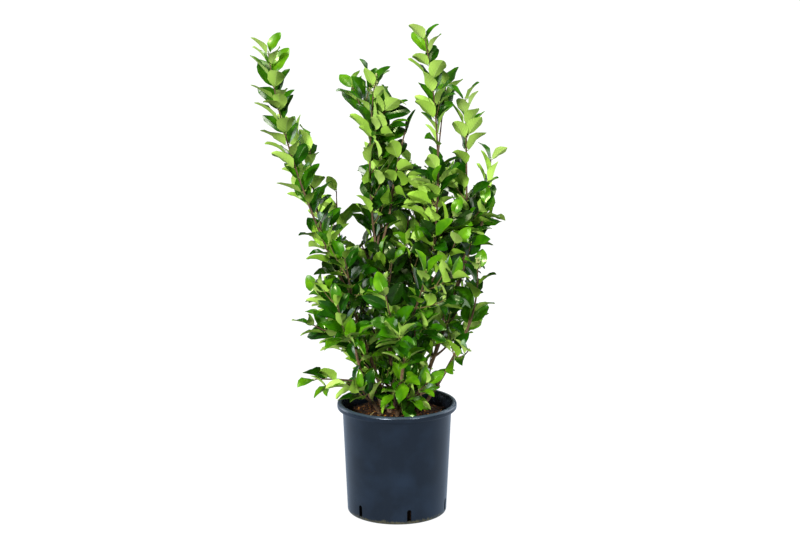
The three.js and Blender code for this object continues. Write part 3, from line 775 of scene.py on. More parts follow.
def directionAt(path, share):
    foot, pull, tip = path
    return ((pull - foot) * (1 - share) + (tip - pull) * share).normalized()


def pathLength(path, steps=24):
    points = [pointAt(path, i / steps) for i in range(steps + 1)]
    return sum((b - a).length for a, b in zip(points, points[1:]))


def squareTo(direction, last):
    return (last - direction * last.dot(direction)).normalized()


def firstSquare(direction):
    return squareTo(direction, Vector((1, 0, 0)) if abs(direction.x) < 0.8 else Vector((0, 1, 0)))


# Turns by an angle from one direction towards another that is square to it
def turnedTo(start, end, angle):
    return start * math.cos(angle) + end * math.sin(angle)


def sideways(direction, normal, turn):
    return turnedTo(normal, direction.cross(normal), turn)


# Everything that grows: stems by kind as (points, radii), leaves, and buds
stems = {"cane": [], "bough": [], "shoot": [], "twig": [], "stalk": [], "straw": []}
leaves = []
tips = []
flowerBuds = []
limbs = {}


def layStem(kind, path, radii, nodes=()):
    length = pathLength(path)
    steps = max(stemHabit["fewestSteps"], round(length / stemHabit["step"]))
    points, widths = [], []
    for step in range(steps + 1):
        share = step / steps
        along = share * length
        swell = max((math.exp(-((along - n) / stemHabit["swellReach"]) ** 2) for n in nodes), default=0)
        flare = 0
        if kind == "cane":
            flare = stemHabit["flareGrowth"] * math.exp(-along / stemHabit["flareLength"])
        points.append(pointAt(path, share))
        widths.append(mixed(*radii, share) * (1 + flare + stemHabit["nodeSwell"] * swell))
    stems[kind].append((points, widths))
    return points, widths


def layLimbs():
    for name, cane in canes.items():
        foot = Vector((*cane["foot"], compost["top"] - stemHabit["sink"]))
        limbs[name] = bowedPath(foot, Vector(cane["top"]), cane["bow"])
        layStem("cane", limbs[name], cane["radii"])
    for name, bough in boughs.items():
        foot = pointAt(limbs[bough["on"]], bough["at"])
        limbs[name] = bowedPath(foot, Vector(bough["tip"]))
        layStem("bough", limbs[name], bough["radii"])


def shootPath(name):
    shoot = shoots[name]
    foot = pointAt(limbs[shoot["on"]], shoot.get("at", 1))
    return bowedPath(foot, Vector(shoot["tip"]), shoot.get("bow", stemHabit["usualSag"]))


def nodeAt(path, share, last=None):
    direction = directionAt(path, share)
    normal = firstSquare(direction) if last is None else squareTo(direction, last)
    return {"point": pointAt(path, share), "direction": direction, "normal": normal, "share": share}


def leafNodes(path, bare, gap):
    length = pathLength(path)
    count = max(1, round((length - bare) / gap))
    normal = firstSquare(directionAt(path, 0))
    nodes = []
    for index in range(count + 1):
        along = bare + (length - bare - stemHabit["bareTip"]) * index / count
        node = nodeAt(path, along / length, normal)
        normal = node["normal"]
        loss = leafHabit["tipShrink"] * max(0, 1 - (length - along) / (leafHabit["tipPairs"] * gap))
        nodes.append({**node, "along": along, "size": 1 - loss, "bare": None, "droop": 0})
    return nodes


def twigPath(node, turn, length, degrees):
    radial = sideways(node["direction"], node["normal"], turn)
    away = turnedTo(node["direction"], radial, math.radians(degrees))
    tip = node["point"] + away * length + worldUp * length * stemHabit["twigRise"]
    return bowedPath(node["point"], tip, (0, 0, -length * stemHabit["twigSag"]))


# Rough tubes of all the wood, to keep twigs and leaves clear of it
def woodTree(*kinds):
    points, faces = [], []
    for path, widths in [stem for kind in kinds for stem in stems[kind]]:
        for index, (point, width) in enumerate(zip(path, widths)):
            ahead = (path[min(index + 1, len(path) - 1)] - path[max(index - 1, 0)]).normalized()
            normal, start = firstSquare(ahead), len(points)
            points += [point + sideways(ahead, normal, 2 * math.pi * side / 3) * width for side in range(3)]
            if index:
                faces += [(start - 3 + a, start - 3 + b, start + b, start + a)
                          for a, b in ((0, 1), (1, 2), (2, 0))]
    return BVHTree.FromPolygons(points, faces)


def isInOpening(point):
    eye = Vector(view["place"])
    seen = eye.lerp(point, eye.y / (eye.y - point.y))
    return any(((seen.x - x) / wide) ** 2 + ((seen.z - z) / high) ** 2 < 1 for x, z, wide, high in openings)


# Lays a twig unless it comes too close to other wood or stands before the sky
def layTwig(grower, twig, wood, clear, bare):
    points = [pointAt(twig, share) for share in stemHabit["testShares"]]
    if any(isInOpening(p) or wood.find_nearest(p, clear)[0] is not None for p in points):
        return False
    stem = layStem("twig", twig, stemHabit["twigRadii"])
    nodes = leafNodes(twig, bare, stemHabit["twigGap"])
    grower["parts"].append({"nodes": nodes, "turn": next(grower["draw"]) * math.pi, "stem": stem})
    return True


# Leafy twigs along a cane, which fill the heart of the crown
def layCaneTwigs(name, cane, wood):
    for node in leafNodes(limbs[name], stemHabit["caneBareFoot"], stemHabit["caneTwigGap"]):
        length = mixed(*stemHabit["caneTwigLengths"], next(cane["draw"]))
        twig = twigPath(node, next(cane["draw"]) * 2 * math.pi, length, stemHabit["twigAngle"])
        layTwig(cane, twig, wood, stemHabit["twigClear"], stemHabit["bareFoot"])


def layFootTwigs(foot, wood):
    for name, along, turn, length in footTwigs:
        node = nodeAt(limbs[name], along / pathLength(limbs[name]))
        twig = twigPath(node, math.radians(turn), length, stemHabit["footAngle"])
        layTwig(foot, twig, wood, stemHabit["spurClear"], stemHabit["bareFoot"])
    for part in foot["parts"]:
        for node in part["nodes"]:
            node["droop"] = leafHabit["footDroop"]


def laySideTwigs(name, shoot, wood):
    draw, stem, every = shoot["draw"], shoot["parts"][0], stemHabit["twigEvery"]
    reach = shoots[name].get("twigs", stemHabit["twigReach"])
    lengths = stemHabit["sprayTwigLengths" if name.startswith("spray") else "twigLengths"]
    for index, node in enumerate(stem["nodes"]):
        length = mixed(*lengths, next(draw))
        side = 0 if next(draw) < 0.5 else math.pi
        if index % every != every - 1 or node["share"] > reach:
            continue
        twig = twigPath(node, stem["turn"] + index * math.pi / 2 + side, length, stemHabit["twigAngle"])
        if layTwig(shoot, twig, wood, stemHabit["twigClear"], stemHabit["bareFoot"]):
            node["bare"] = side


# Spurs: short side twigs from the axils of leaves
def laySpurs(grower, part, wood):
    draw = grower["draw"]
    for index, node in enumerate(part["nodes"]):
        length = mixed(*stemHabit["spurLengths"], next(draw))
        side = 0 if next(draw) < 0.5 else math.pi
        chance = next(draw)
        if node["bare"] is not None or node["share"] > stemHabit["spurReach"]:
            continue
        if chance > stemHabit["spurShare"] or node["point"].z < stemHabit["spurFloor"]:
            continue
        spur = twigPath(node, part["turn"] + index * math.pi / 2 + side, length, stemHabit["spurAngle"])
        layTwig(grower, spur, wood, stemHabit["spurClear"], stemHabit["spurBareFoot"])


# Stems of all shoots come first, then the twigs on canes and shoots, and then the spurs on all of them
def layShoots():
    growers = [{"draw": seededRandom(stemHabit["firstSeed"] + order), "parts": []}
               for order in range(len(shoots) + len(canes) + 1)]
    for name, shoot in zip(shoots, growers):
        path = shootPath(name)
        least, most = stemHabit["shortGap"], stemHabit["pairGap"]
        gap = clamped(pathLength(path) / stemHabit["pairsOnShort"], least, most)
        nodes = leafNodes(path, stemHabit["bareFoot"], gap)
        stem = layStem("shoot", path, stemHabit["shootRadii"], [n["along"] for n in nodes])
        turn = math.radians(mixed(*stemHabit["firstTurns"], next(shoot["draw"])))
        shoot["parts"].append({"nodes": nodes, "turn": turn, "stem": stem})
    wood = woodTree("cane", "bough", "shoot")
    for name, cane in zip(canes, growers[len(shoots):]):
        layCaneTwigs(name, cane, wood)
    layFootTwigs(growers[-1], wood)
    for name, shoot in zip(shoots, growers):
        laySideTwigs(name, shoot, wood)
    wood = woodTree("cane", "bough", "shoot", "twig")
    for grower in growers:
        for part in list(grower["parts"]):
            laySpurs(grower, part, wood)
    return growers


# A leaf in a few faces, for the tests alone
def leafOutline(root, along, up, length):
    width, cup, curl = length * leafHabit["widthRatio"], leafHabit["cup"], leafHabit["curl"]
    across = along.cross(up)
    marks = [(0.0, 0), (0.2, -0.6), (0.2, 0.6), (0.48, -1), (0.48, 1), (0.78, -0.66), (0.78, 0.66), (1.0, 0)]
    points = [root + along * length * t + across * s * width / 2
              + up * (abs(s) * width * cup - length * curl * t * t) for t, s in marks]
    return points, [(0, 1, 2), (1, 3, 4, 2), (3, 5, 6, 4), (5, 7, 6)]


# Leaves so far by cell, so that a new one is tested against its neighbours only
cells = {}


def cellOf(points):
    return tuple(int(math.floor(c / leafHabit["cell"])) for c in (points[0] + points[-1]) / 2)


def isInReach(point):
    margin = leafHabit["overReach"]
    return all(low / mm - margin < c < high / mm + margin for c, low, high in zip(point, *cadBox))


def pointIsFree(point):
    overRim = point.z > pot["height"] + leafHabit["overRim"]
    inRim = math.hypot(point.x, point.y) < pot["rimInnerRadius"] - leafHabit["insideRim"]
    overCompost = point.z > compost["top"] + leafHabit["overCompost"]
    return isInReach(point) and overCompost and (overRim or inRim) and not isInOpening(point)


# The blade of a leaf that stands free, or nothing
def freeBlade(points, faces, wood):
    if not all(pointIsFree(p) for p in points):
        return None
    blade = BVHTree.FromPolygons(points, faces, epsilon=leafHabit["clear"])
    i, j, k = cellOf(points)
    near = [(i + a, j + b, k + c) for a in (-1, 0, 1) for b in (-1, 0, 1) for c in (-1, 0, 1)]
    others = [wood] + [other for cell in near for other in cells.get(cell, ())]
    return None if any(blade.overlap(other) for other in others) else blade


# How leaves stand at a node, by its height, the slope of its stem and its place along the stem
def stanceAt(node):
    habit, point, way = leafHabit, node["point"], node["direction"]
    low, high = habit["heights"]
    height = clamped((point.z - low) / (high - low))
    foot = mixed(habit["levelDivergence"], habit["uprightDivergence"], way.z)
    return {
        "inward": (Vector(habit["axis"]) - point.xy).to_3d().normalized(),
        "rise": mixed(*habit["rise"], height) - node["droop"],
        "facing": mixed(*habit["facing"], height),
        "level": clamped(mixed(*habit["levelling"], height) * (1 - way.z)),
        "divergence": mixed(foot, habit["tipDivergence"], node["share"]),
    }


# One try at a leaf and its stalk, with four draws: turn, spread, roll and size
def tryLeaf(draw, node, stance, turn, loose):
    habit, point, way, inward = leafHabit, node["point"], node["direction"], stance["inward"]
    turnOff, spreadOff, roll = [(next(draw) - 0.5) * most * loose for most in habit["scatters"]]
    size = node["size"] * mixed(*habit["sizes"], next(draw))
    radial = sideways(way, node["normal"], turn + turnOff)
    spread = math.radians(stance["divergence"] + spreadOff)
    along = (turnedTo(way, radial, spread) + worldUp * stance["rise"] * (1 - way.z)).normalized()
    beside = abs(radial.dot(worldUp.cross(inward)))
    up = (turnedTo(-radial, way, spread) + inward * beside * stance["facing"]).normalized()
    up = squareTo(along, up.lerp(worldUp, stance["level"]))
    up.rotate(Matrix.Rotation(roll, 3, along))
    lean = (radial + along * habit["stalkLean"]).normalized()
    root = point + lean * habit["stalk"] * size
    stalk = (point, point + radial * habit["stalk"] * size * habit["stalkBow"], root)
    return {"root": root, "along": along, "up": up, "length": habit["length"] * size}, stalk


def growLeaf(draw, node, stance, turn, wood):
    habit = leafHabit
    for attempt in range(habit["tries"]):
        leaf, stalk = tryLeaf(draw, node, stance, turn, 1 + attempt * habit["scatterGrowth"])
        points, faces = leafOutline(**leaf)
        blade = freeBlade(points, faces, wood)
        if blade is None:
            continue
        cells.setdefault(cellOf(points), []).append(blade)
        shares = [i / habit["stalkSteps"] for i in range(habit["stalkSteps"] + 1)]
        stems["stalk"].append(([pointAt(stalk, share) for share in shares],
                               [mixed(*habit["stalkRadii"], share) for share in shares]))
        leaves.append({**leaf, "share": node["share"], "pick": next(draw), "age": next(draw)})
        return True
    return False


# A pair of leaves, or one beside a twig, where there is room
def growPair(draw, node, turn, wood):
    stance = stanceAt(node)
    sides = [side for side in (0, math.pi) if side != node["bare"]]
    return any([growLeaf(draw, node, stance, turn + side, wood) for side in sides])


# A stem ends at its last leaf, and one that keeps its own tip has a bud there
def trimStem(stem, share):
    points, widths = stem
    end = math.ceil(share * (len(points) - 1))
    if end == len(points) - 1:
        tips.append((points[-1], (points[-1] - points[-2]).normalized()))
    del points[end + 1:]
    del widths[end + 1:]


def growLeaves(growers):
    wood = woodTree("cane", "bough", "shoot", "twig")
    for grower in growers:
        for part in grower["parts"]:
            leafy = [node["share"] for index, node in enumerate(part["nodes"])
                     if growPair(grower["draw"], node, part["turn"] + index * math.pi / 2, wood)]
            trimStem(part["stem"], max(leafy, default=0))
    stems["twig"] = [stem for stem in stems["twig"] if len(stem[0]) > 1]


# Flower buds stand in a loose spire of stalks at the tips of two shoots
panicles = {
    "shoot_mid_tall": {"drop": 26, "length": 46, "whorls": 6, "arm": 15, "buds": 5, "seed": 91},
    "shoot_low_right": {"drop": 6, "length": 26, "whorls": 4, "arm": 10, "buds": 4, "seed": 92},
}
panicleHabit = {
    "radii": (0.9, 0.8, 0.5),
    "armRadii": (0.6, 0.5, 0.4),
    "around": 3,
    "lift": 40,
    "firstWhorl": 0.6,
    "whorlTurn": 1.05,  # radians
    "turnScatter": 0.5,  # radians
    "taper": 0.7,
    "armSizes": (0.8, 1.2),
    "budsFrom": 0.5,
    "budScatter": 5,
    "budSizes": (2.4, 3.4),
}


def layPanicle(name, panicle):
    habit, draw, path = panicleHabit, seededRandom(panicle["seed"]), shootPath(name)
    way = directionAt(path, 1)
    normal = firstSquare(way)
    foot = path[-1] - way * panicle["drop"]
    top = foot + way * panicle["length"]
    stems["stalk"].append(([foot, (foot + top) / 2, top], habit["radii"]))
    for whorl in range(panicle["whorls"]):
        share = (whorl + habit["firstWhorl"]) / panicle["whorls"]
        start = foot.lerp(top, share)
        for arm in range(habit["around"]):
            turn = 2 * math.pi * arm / habit["around"] + whorl * habit["whorlTurn"]
            out = sideways(way, normal, turn + next(draw) * habit["turnScatter"])
            reach = panicle["arm"] * (1 - habit["taper"] * share) * mixed(*habit["armSizes"], next(draw))
            end = start + turnedTo(out, way, math.radians(habit["lift"])) * reach
            stems["stalk"].append(([start, (start + end) / 2, end], habit["armRadii"]))
            for bud in range(panicle["buds"]):
                off = Vector([next(draw) - 0.5 for axis in range(3)]) * habit["budScatter"]
                place = start.lerp(end, mixed(habit["budsFrom"], 1, next(draw))) + off
                flowerBuds.append((place, mixed(*habit["budSizes"], next(draw))))


# A dry stalk that lies on the compost
straw = {
    "place": (-62, -58),
    "length": 30,
    "turn": 62,
    "rise": 9,
    "lift": 2,
    "bow": 2,
    "radius": 1.2,
    "steps": 6,
}


def layStraw():
    x, y = straw["place"]
    foot = Vector((x, y, compostHeight(x, y) + straw["lift"]))
    ahead = turnedTo(Vector((1, 0, 0)), Vector((0, 1, 0)), math.radians(straw["turn"]))
    tip = foot + ahead * straw["length"] + worldUp * straw["rise"]
    path = bowedPath(foot, tip, (0, 0, straw["bow"]))
    points = [pointAt(path, i / straw["steps"]) for i in range(straw["steps"] + 1)]
    stems["straw"].append((points, [straw["radius"]] * len(points)))


layLimbs()
growLeaves(layShoots())
for name, panicle in panicles.items():
    layPanicle(name, panicle)
layStraw()
print("grew", len(leaves), "leaves,", len(stems["twig"]), "twigs and", len(flowerBuds), "flower buds")


# Privet bark, thin and smooth: grey-tan with pale pores, browner on the young shoots
barks = {
    "Cane": {"colours": ("#4a3727", "#866b4f"), "pore": "#b39a76"},
    "Shoot": {"colours": ("#3e2d20", "#6c553d"), "pore": "#8f7857"},
    "Twig": {"colours": ("#4c4424", "#7b6a3e"), "pore": "#958a54"},
    "Stalk": {"colours": ("#6f8a2e", "#93a94a"), "pore": "#a9b765"},
    "Straw": {"colours": ("#a88a4e", "#d6bd82"), "pore": "#e0cb95"},
}
barkGrain = {"streak": 3, "streakShrink": 0.2, "reliefShrink": 0.3, "pore": 2.4, "poreShare": 0.16}


def makeBark(name):
    bark, grain = barks[name], barkGrain
    material, add, shader = newMaterial("privetBark" + name)
    place = add("ShaderNodeTexCoord").outputs["Object"]
    drawn = add("ShaderNodeMapping", {"Vector": place, "Scale": (1, 1, grain["streakShrink"])})
    streak, tint = mottled(add, drawn, grain["streak"], bark["colours"], (0.3, 0.7), Detail=4.0)
    pores = add("ShaderNodeTexVoronoi", {"Vector": place, "Scale": 1 / (grain["pore"] * mm)})
    dots = add("ShaderNodeMath", {0: pores, 1: grain["poreShare"]}, operation="LESS_THAN")
    colour = add("ShaderNodeMixRGB", {"Fac": dots, "Color1": tint, "Color2": bark["pore"]})
    bump = add("ShaderNodeBump", {"Height": streak, "Strength": 0.4, "Distance": 0.4 * mm})
    setInputs(shader, {
        "Base Color": colour, "Normal": bump, "Roughness": 0.72, "Specular IOR Level": 0.3})
    return material


# Round stems swept along their paths, pushed in and out by the grain of the bark
def makeStemTree():
    tree, add, given = newTree("stemsAlongPaths", "Stems", {
        "Paths": "Geometry", "Sides": "Int", "Relief": "Float", "Grain": "Float", "Bark": "Material"})
    lines = add("GeometryNodeMeshToCurve", {"Mesh": given["Paths"]})
    width = add("GeometryNodeInputNamedAttribute", {"Name": "stemRadius"}, data_type="FLOAT")
    ring = add("GeometryNodeCurvePrimitiveCircle", {"Resolution": given["Sides"], "Radius": 1.0})
    tubes = add("GeometryNodeCurveToMesh", {
        "Curve": lines, "Profile Curve": ring, "Scale": width, "Fill Caps": True})
    place = add("GeometryNodeInputPosition")
    drawn = add("ShaderNodeVectorMath", {
        0: place, 1: (1, 1, barkGrain["reliefShrink"])}, operation="MULTIPLY")
    grain = add("ShaderNodeTexNoise", {"Vector": drawn, "Scale": given["Grain"], "Detail": 2.0})
    centred = add("ShaderNodeMath", {0: grain, 1: 0.5}, operation="SUBTRACT")
    depth = add("ShaderNodeMath", {0: centred, 1: given["Relief"]}, operation="MULTIPLY")
    normal = add("GeometryNodeInputNormal")
    push = add("ShaderNodeVectorMath", {0: normal, "Scale": depth}, operation="SCALE")
    rough = add("GeometryNodeSetPosition", {"Geometry": tubes, "Offset": push})
    smooth = add("GeometryNodeSetShadeSmooth", {"Geometry": rough})
    real = add("GeometryNodeRealizeInstances", {"Geometry": smooth})
    skin = add("GeometryNodeSetMaterial", {"Geometry": real, "Material": given["Bark"]})
    add("NodeGroupOutput", {"Stems": skin})
    return tree


stemPieces = {
    "canesBark": dict(kind="cane", sides=14, relief=1.1, grain=5, bark="Cane", slot="bark", nodes=canes),
    "boughsBark": dict(kind="bough", sides=12, relief=0.8, grain=4, bark="Cane", slot="bark", nodes=boughs),
    "shootStems": dict(kind="shoot", sides=9, relief=0.5, grain=4, bark="Shoot", slot="bark", nodes=shoots),
    "sideTwigs": dict(kind="twig", sides=7, relief=0.3, grain=3, bark="Twig", slot="foliage"),
    "leafStalks": dict(kind="stalk", sides=5, relief=0.0, grain=3, bark="Stalk", slot="foliage"),
    "strawStalk": dict(kind="straw", sides=8, relief=0.4, grain=4, bark="Straw", slot="bark_compost"),
}


def makeStems():
    tree = makeStemTree()
    skins = {name: makeBark(name) for name in barks}
    for name, stem in stemPieces.items():
        points, edges, widths = [], [], []
        for path, radii in stems[stem["kind"]]:
            edges += [(len(points) + i, len(points) + i + 1) for i in range(len(path) - 1)]
            points += [p * mm for p in path]
            widths += [r * mm for r in radii]
        mesh = meshFrom(name, points, edges=edges)
        setAttribute(mesh, "stemRadius", "FLOAT", widths)
        piece = growByNodes(linkedObject(name, mesh), tree, {
            "Sides": stem["sides"],
            "Relief": stem["relief"] * mm,
            "Grain": 1 / (stem["grain"] * mm),
            "Bark": skins[stem["bark"]],
        })
        finishPiece(piece, stem["slot"], stem.get("nodes", ()))


makeStems()


# Privet leaves: a thick waxy blade, glossy and deep green above, matte and yellow-green below
# The four tones are lighter and darker copies of one leaf: partly the spread by age, partly painted light
# and shade
leafTones = {
    "Deep": {"upper": ("#072001", "#0f2f01"), "under": "#93c43a", "rib": "#a5cf5c"},
    "Grown": {"upper": ("#0d3601", "#184b01"), "under": "#a5d24e", "rib": "#b7dc74"},
    "Fresh": {"upper": ("#1f5002", "#346c03"), "under": "#b3dc60", "rib": "#c5e484"},
    "Young": {"upper": ("#3a6f06", "#5a8e0e"), "under": "#bce06e", "rib": "#cee790"},
}
leafShapes = {
    "plain": dict(ratio=0.62, fold=18, curl=10, twist=0, wave=0.1),
    "round": dict(ratio=0.67, fold=26, curl=16, twist=-26, wave=0.14),
    "cupped": dict(ratio=0.68, fold=34, curl=14, twist=12, wave=0.12),
    "recurved": dict(ratio=0.62, fold=22, curl=30, twist=-18, wave=0.12),
    "twisted": dict(ratio=0.6, fold=26, curl=18, twist=52, wave=0.16),
    "slim": dict(ratio=0.54, fold=30, curl=24, twist=26, wave=0.12),
    "folded": dict(ratio=0.56, fold=44, curl=18, twist=-48, wave=0.14),
    "narrow": dict(ratio=0.46, fold=34, curl=28, twist=40, wave=0.12),
}
leafMake = {
    "stations": (0.04, 0.14, 0.31, 0.52, 0.72, 0.88, 0.96),
    "across": 6,  # points of a row, with the rib between the middle two
    "ribStrip": 2,
    "thickness": 0.011,  # of the length, as the rib's sizes are
    "ribHalf": 0.012,
    "ribTaper": 0.7,
    "ribMost": 0.3,  # of the half width
    "ribDepth": 0.012,
    "ribRise": 0.6,
    "half": 0.55,  # where the middle of each half lies
    "flattening": 0.3,  # of the fold, towards the margin
    "waves": (10, 2),  # along and across, in radians
    "basePower": 0.74,
    "tipPower": 0.88,
    "curlPower": 1.6,
    "lowShift": 2,  # low leaves leave out the first, broader shapes, and high ones the last
}


def leafHalfWidth(t, ratio):
    a, b = leafMake["basePower"], leafMake["tipPower"]
    widest = a / (a + b)
    return ratio / 2 * (t / widest) ** a * ((1 - t) / (1 - widest)) ** b


# The midrib bends down towards the tip and keeps its length
def midribPoints(curl, steps=48):
    power, point, points = leafMake["curlPower"], Vector((0, 0, 0)), [(Vector((0, 0, 0)), 0)]
    for step in range(steps):
        angle = math.radians(curl) * power * ((step + 1) / steps) ** power
        point = point + Vector((0, math.cos(angle), -math.sin(angle))) / steps
        points.append((point, angle))
    return points


# Points of a blade that runs along Y and faces up: the base, the rows above, the tip and the rows below
def leafPoints(shape):
    make, spine = leafMake, midribPoints(shape["curl"])
    fold, twist = math.radians(shape["fold"]), math.radians(shape["twist"])
    upper, under, places, underPlaces = [Vector((0, 0, 0))], [], [(0, 0, 0)], []
    for t in make["stations"]:
        centre, angle = spine[round(t * (len(spine) - 1))]
        turned = Matrix.Rotation(-angle, 3, "X") @ Matrix.Rotation(twist * t, 3, "Y")
        half = leafHalfWidth(t, shape["ratio"])
        rib = min(make["ribMost"], make["ribHalf"] * (1 - make["ribTaper"] * t) / half)
        for s in (-1, -make["half"], -rib, rib, make["half"], 1):
            ripple = shape["wave"] * math.sin(make["waves"][0] * t + make["waves"][1] * s) * s * s * half
            lift = abs(s) * half * math.sin(fold) * (1 - make["flattening"] * abs(s)) + ripple
            point = Vector((s * half * math.cos(fold), 0, lift))
            upper.append(centre + turned @ point)
            places.append((s * half, t, 0))
            if abs(s) == 1:
                continue
            depth = make["thickness"] * (1 - s * s)
            if abs(s) == rib:
                depth += make["ribDepth"] * (1 - make["ribRise"] * t)
            under.append(centre + turned @ (point - Vector((0, 0, depth))))
            underPlaces.append(places[-1])
    return [*upper, spine[-1][0], *under], [*places, (0, 1, 0), *underPlaces]


# The points keep their places across and along the leaf, for the veins
def leafMesh(name, shape):
    points, places = leafPoints(shape)
    across = leafMake["across"]
    tip = 1 + across * len(leafMake["stations"])
    tops = [[*range(start, start + across)] for start in range(1, tip, across)]
    starts = range(tip + 1, len(points), across - 2)
    lows = [[top[0], *range(start, start + across - 2), top[-1]] for top, start in zip(tops, starts)]
    faces, isUnder, isRib = [], [], []
    for rows, below in ((tops, False), (lows, True)):
        rows = [[0] * across, *rows, [tip] * across]
        for near, far in zip(rows, rows[1:]):
            for strip, (a, b, c, d) in enumerate(zip(near, near[1:], far[1:], far)):
                faces.append(list(dict.fromkeys((a, d, c, b) if below else (a, b, c, d))))
                isUnder.append(below)
                isRib.append(below and strip == leafMake["ribStrip"])
    mesh = meshFrom(name, points, faces=faces)
    mesh.shade_smooth()
    margins = [[0, *(top[end] for top in tops), tip] for end in (0, -1)]
    sharp = {tuple(sorted(pair)) for chain in margins for pair in zip(chain, chain[1:])}
    for edge in mesh.edges:
        edge.use_edge_sharp = tuple(sorted(edge.vertices)) in sharp
    setAttribute(mesh, "leafPlace", "FLOAT_VECTOR", places)
    setAttribute(mesh, "isUnder", "BOOLEAN", isUnder, "FACE")
    setAttribute(mesh, "isRib", "BOOLEAN", isRib, "FACE")
    return mesh


# Sets a shape on every point by the point's own turn, size and pick
def makeLeafTree():
    tree, add, given = newTree("leavesOnPoints", "Leaves", {
        "Points": "Geometry", "Shapes": "Collection", "Upper": "Material", "Under": "Material",
        "Rib": "Material"})
    shapes = add("GeometryNodeCollectionInfo", {
        "Collection": given["Shapes"], "Separate Children": True, "Reset Children": True})
    kinds = {"leafTurn": "FLOAT_VECTOR", "leafSize": "FLOAT", "leafPick": "INT",
             "isUnder": "BOOLEAN", "isRib": "BOOLEAN"}
    own = {name: add("GeometryNodeInputNamedAttribute", {"Name": name}, data_type=kind)
           for name, kind in kinds.items()}
    hung = add("GeometryNodeInstanceOnPoints", {
        "Points": given["Points"], "Instance": shapes, "Pick Instance": True,
        "Instance Index": own["leafPick"], "Rotation": own["leafTurn"], "Scale": own["leafSize"]})
    real = add("GeometryNodeRealizeInstances", {"Geometry": hung})
    upper = add("GeometryNodeSetMaterial", {"Geometry": real, "Material": given["Upper"]})
    under = add("GeometryNodeSetMaterial", {
        "Geometry": upper, "Selection": own["isUnder"], "Material": given["Under"]})
    rib = add("GeometryNodeSetMaterial", {
        "Geometry": under, "Selection": own["isRib"], "Material": given["Rib"]})
    add("NodeGroupOutput", {"Leaves": rib})
    return tree


leafSkin = {
    "cloud": 24,
    "ripple": 5,
    "upperRoughness": 0.23,
    "wax": "#e4f4b4",  # tints the gloss
    "underRoughness": 0.62,
    "veinGap": 0.13,  # of the leaf's length
    "veinWidth": 0.035,  # wider than a real vein, so that it shows
    "veinSlant": 0.9,
    "veinRelief": 0.35,
}


def makeUpperSkin(tone):
    material, add, shader = newMaterial("waxyLeafUpper" + tone)
    place = add("ShaderNodeTexCoord").outputs["Object"]
    colour = mottled(add, place, leafSkin["cloud"], leafTones[tone]["upper"], (0.35, 0.65))[1]
    ripple = add("ShaderNodeTexNoise", {"Vector": place, "Scale": 1 / (leafSkin["ripple"] * mm)})
    bump = add("ShaderNodeBump", {"Height": ripple, "Strength": 0.14, "Distance": 0.8 * mm})
    setInputs(shader, {
        "Base Color": colour, "Normal": bump, "Roughness": leafSkin["upperRoughness"],
        "Specular IOR Level": 0.45, "Specular Tint": leafSkin["wax"]})
    return material


# Undersides and midribs: plain matte colours, with slanted veins in relief
def makeUnderSkin(name, colour):
    material, add, shader = newMaterial(name)
    split = add("ShaderNodeSeparateXYZ", {
        0: add("ShaderNodeAttribute", attribute_name="leafPlace").outputs["Vector"]}).outputs
    aside = add("ShaderNodeMath", {0: split["X"]}, operation="ABSOLUTE")
    slant = add("ShaderNodeMath", {
        0: aside, 1: -leafSkin["veinSlant"], 2: split["Y"]}, operation="MULTIPLY_ADD")
    offVein = add("ShaderNodeMath", {0: slant, 1: leafSkin["veinGap"] / 2}, operation="PINGPONG")
    vein = add("ShaderNodeMapRange", {
        "Value": offVein, "From Max": leafSkin["veinWidth"], "To Min": 1.0, "To Max": 0.0})
    bump = add("ShaderNodeBump", {
        "Height": vein, "Strength": 0.8, "Distance": leafSkin["veinRelief"] * mm})
    setInputs(shader, {
        "Base Color": colour, "Normal": bump, "Roughness": leafSkin["underRoughness"],
        "Specular IOR Level": 0.12})
    return material


# Tones go by place and age: young at the tips, lighter on the outside and away from the heart as painted
# light, and deep in the heart of the crown as painted shade
toneHabit = {
    "heart": 500,  # height of the deepest green, the painted shade of the crown's heart
    "above": 290,  # over which it lightens upwards
    "below": 110,  # over which it lightens downwards
    "lightest": 1.3,  # end of that scale
    "lowUnder": 100,  # leaves this far under the heart are low ones
    "axis": (15, 0),
    "radius": 150,
    "high": (0.35, 0.4, 0.45),  # weights of the place out from the axis, the height and the age
    "low": (0.7, 0.2, 1.4),
    "tipShare": 0.9,
    "tipAge": 0.6,
    "young": 0.86,
    "fresh": 0.56,
    "grown": 0.32,
}


def toneOf(leaf):
    habit, place, age = toneHabit, leaf["root"], leaf["age"]
    if leaf["share"] > habit["tipShare"] and age < habit["tipAge"]:
        return "Young"
    # The place out from the axis and the height paint light and shade into the tone, and the age adds the
    # leaf's own spread
    outside = clamped(math.dist(place.xy, habit["axis"]) / habit["radius"])
    rise = place.z - habit["heart"]
    height = clamped(max(rise / habit["above"], -rise / habit["below"]), 0, habit["lightest"])
    isLow = rise < -habit["lowUnder"]
    byPlace, byHeight, byAge = habit["low" if isLow else "high"]
    freshnessAndLight = byPlace * outside + byHeight * height + byAge * (age - 0.5)
    if isLow and freshnessAndLight > habit["young"]:
        return "Young"
    if freshnessAndLight > habit["fresh"]:
        return "Fresh"
    return "Grown" if freshnessAndLight > habit["grown"] else "Deep"


def shapeOf(leaf):
    shift = leafMake["lowShift"]
    first = shift if leaf["root"].z < toneHabit["heart"] else 0
    return first + int(leaf["pick"] * (len(leafShapes) - shift))


def turnOf(leaf):
    along, up = leaf["along"], leaf["up"]
    return Matrix((along.cross(up), along, up)).transposed().to_euler("XYZ")


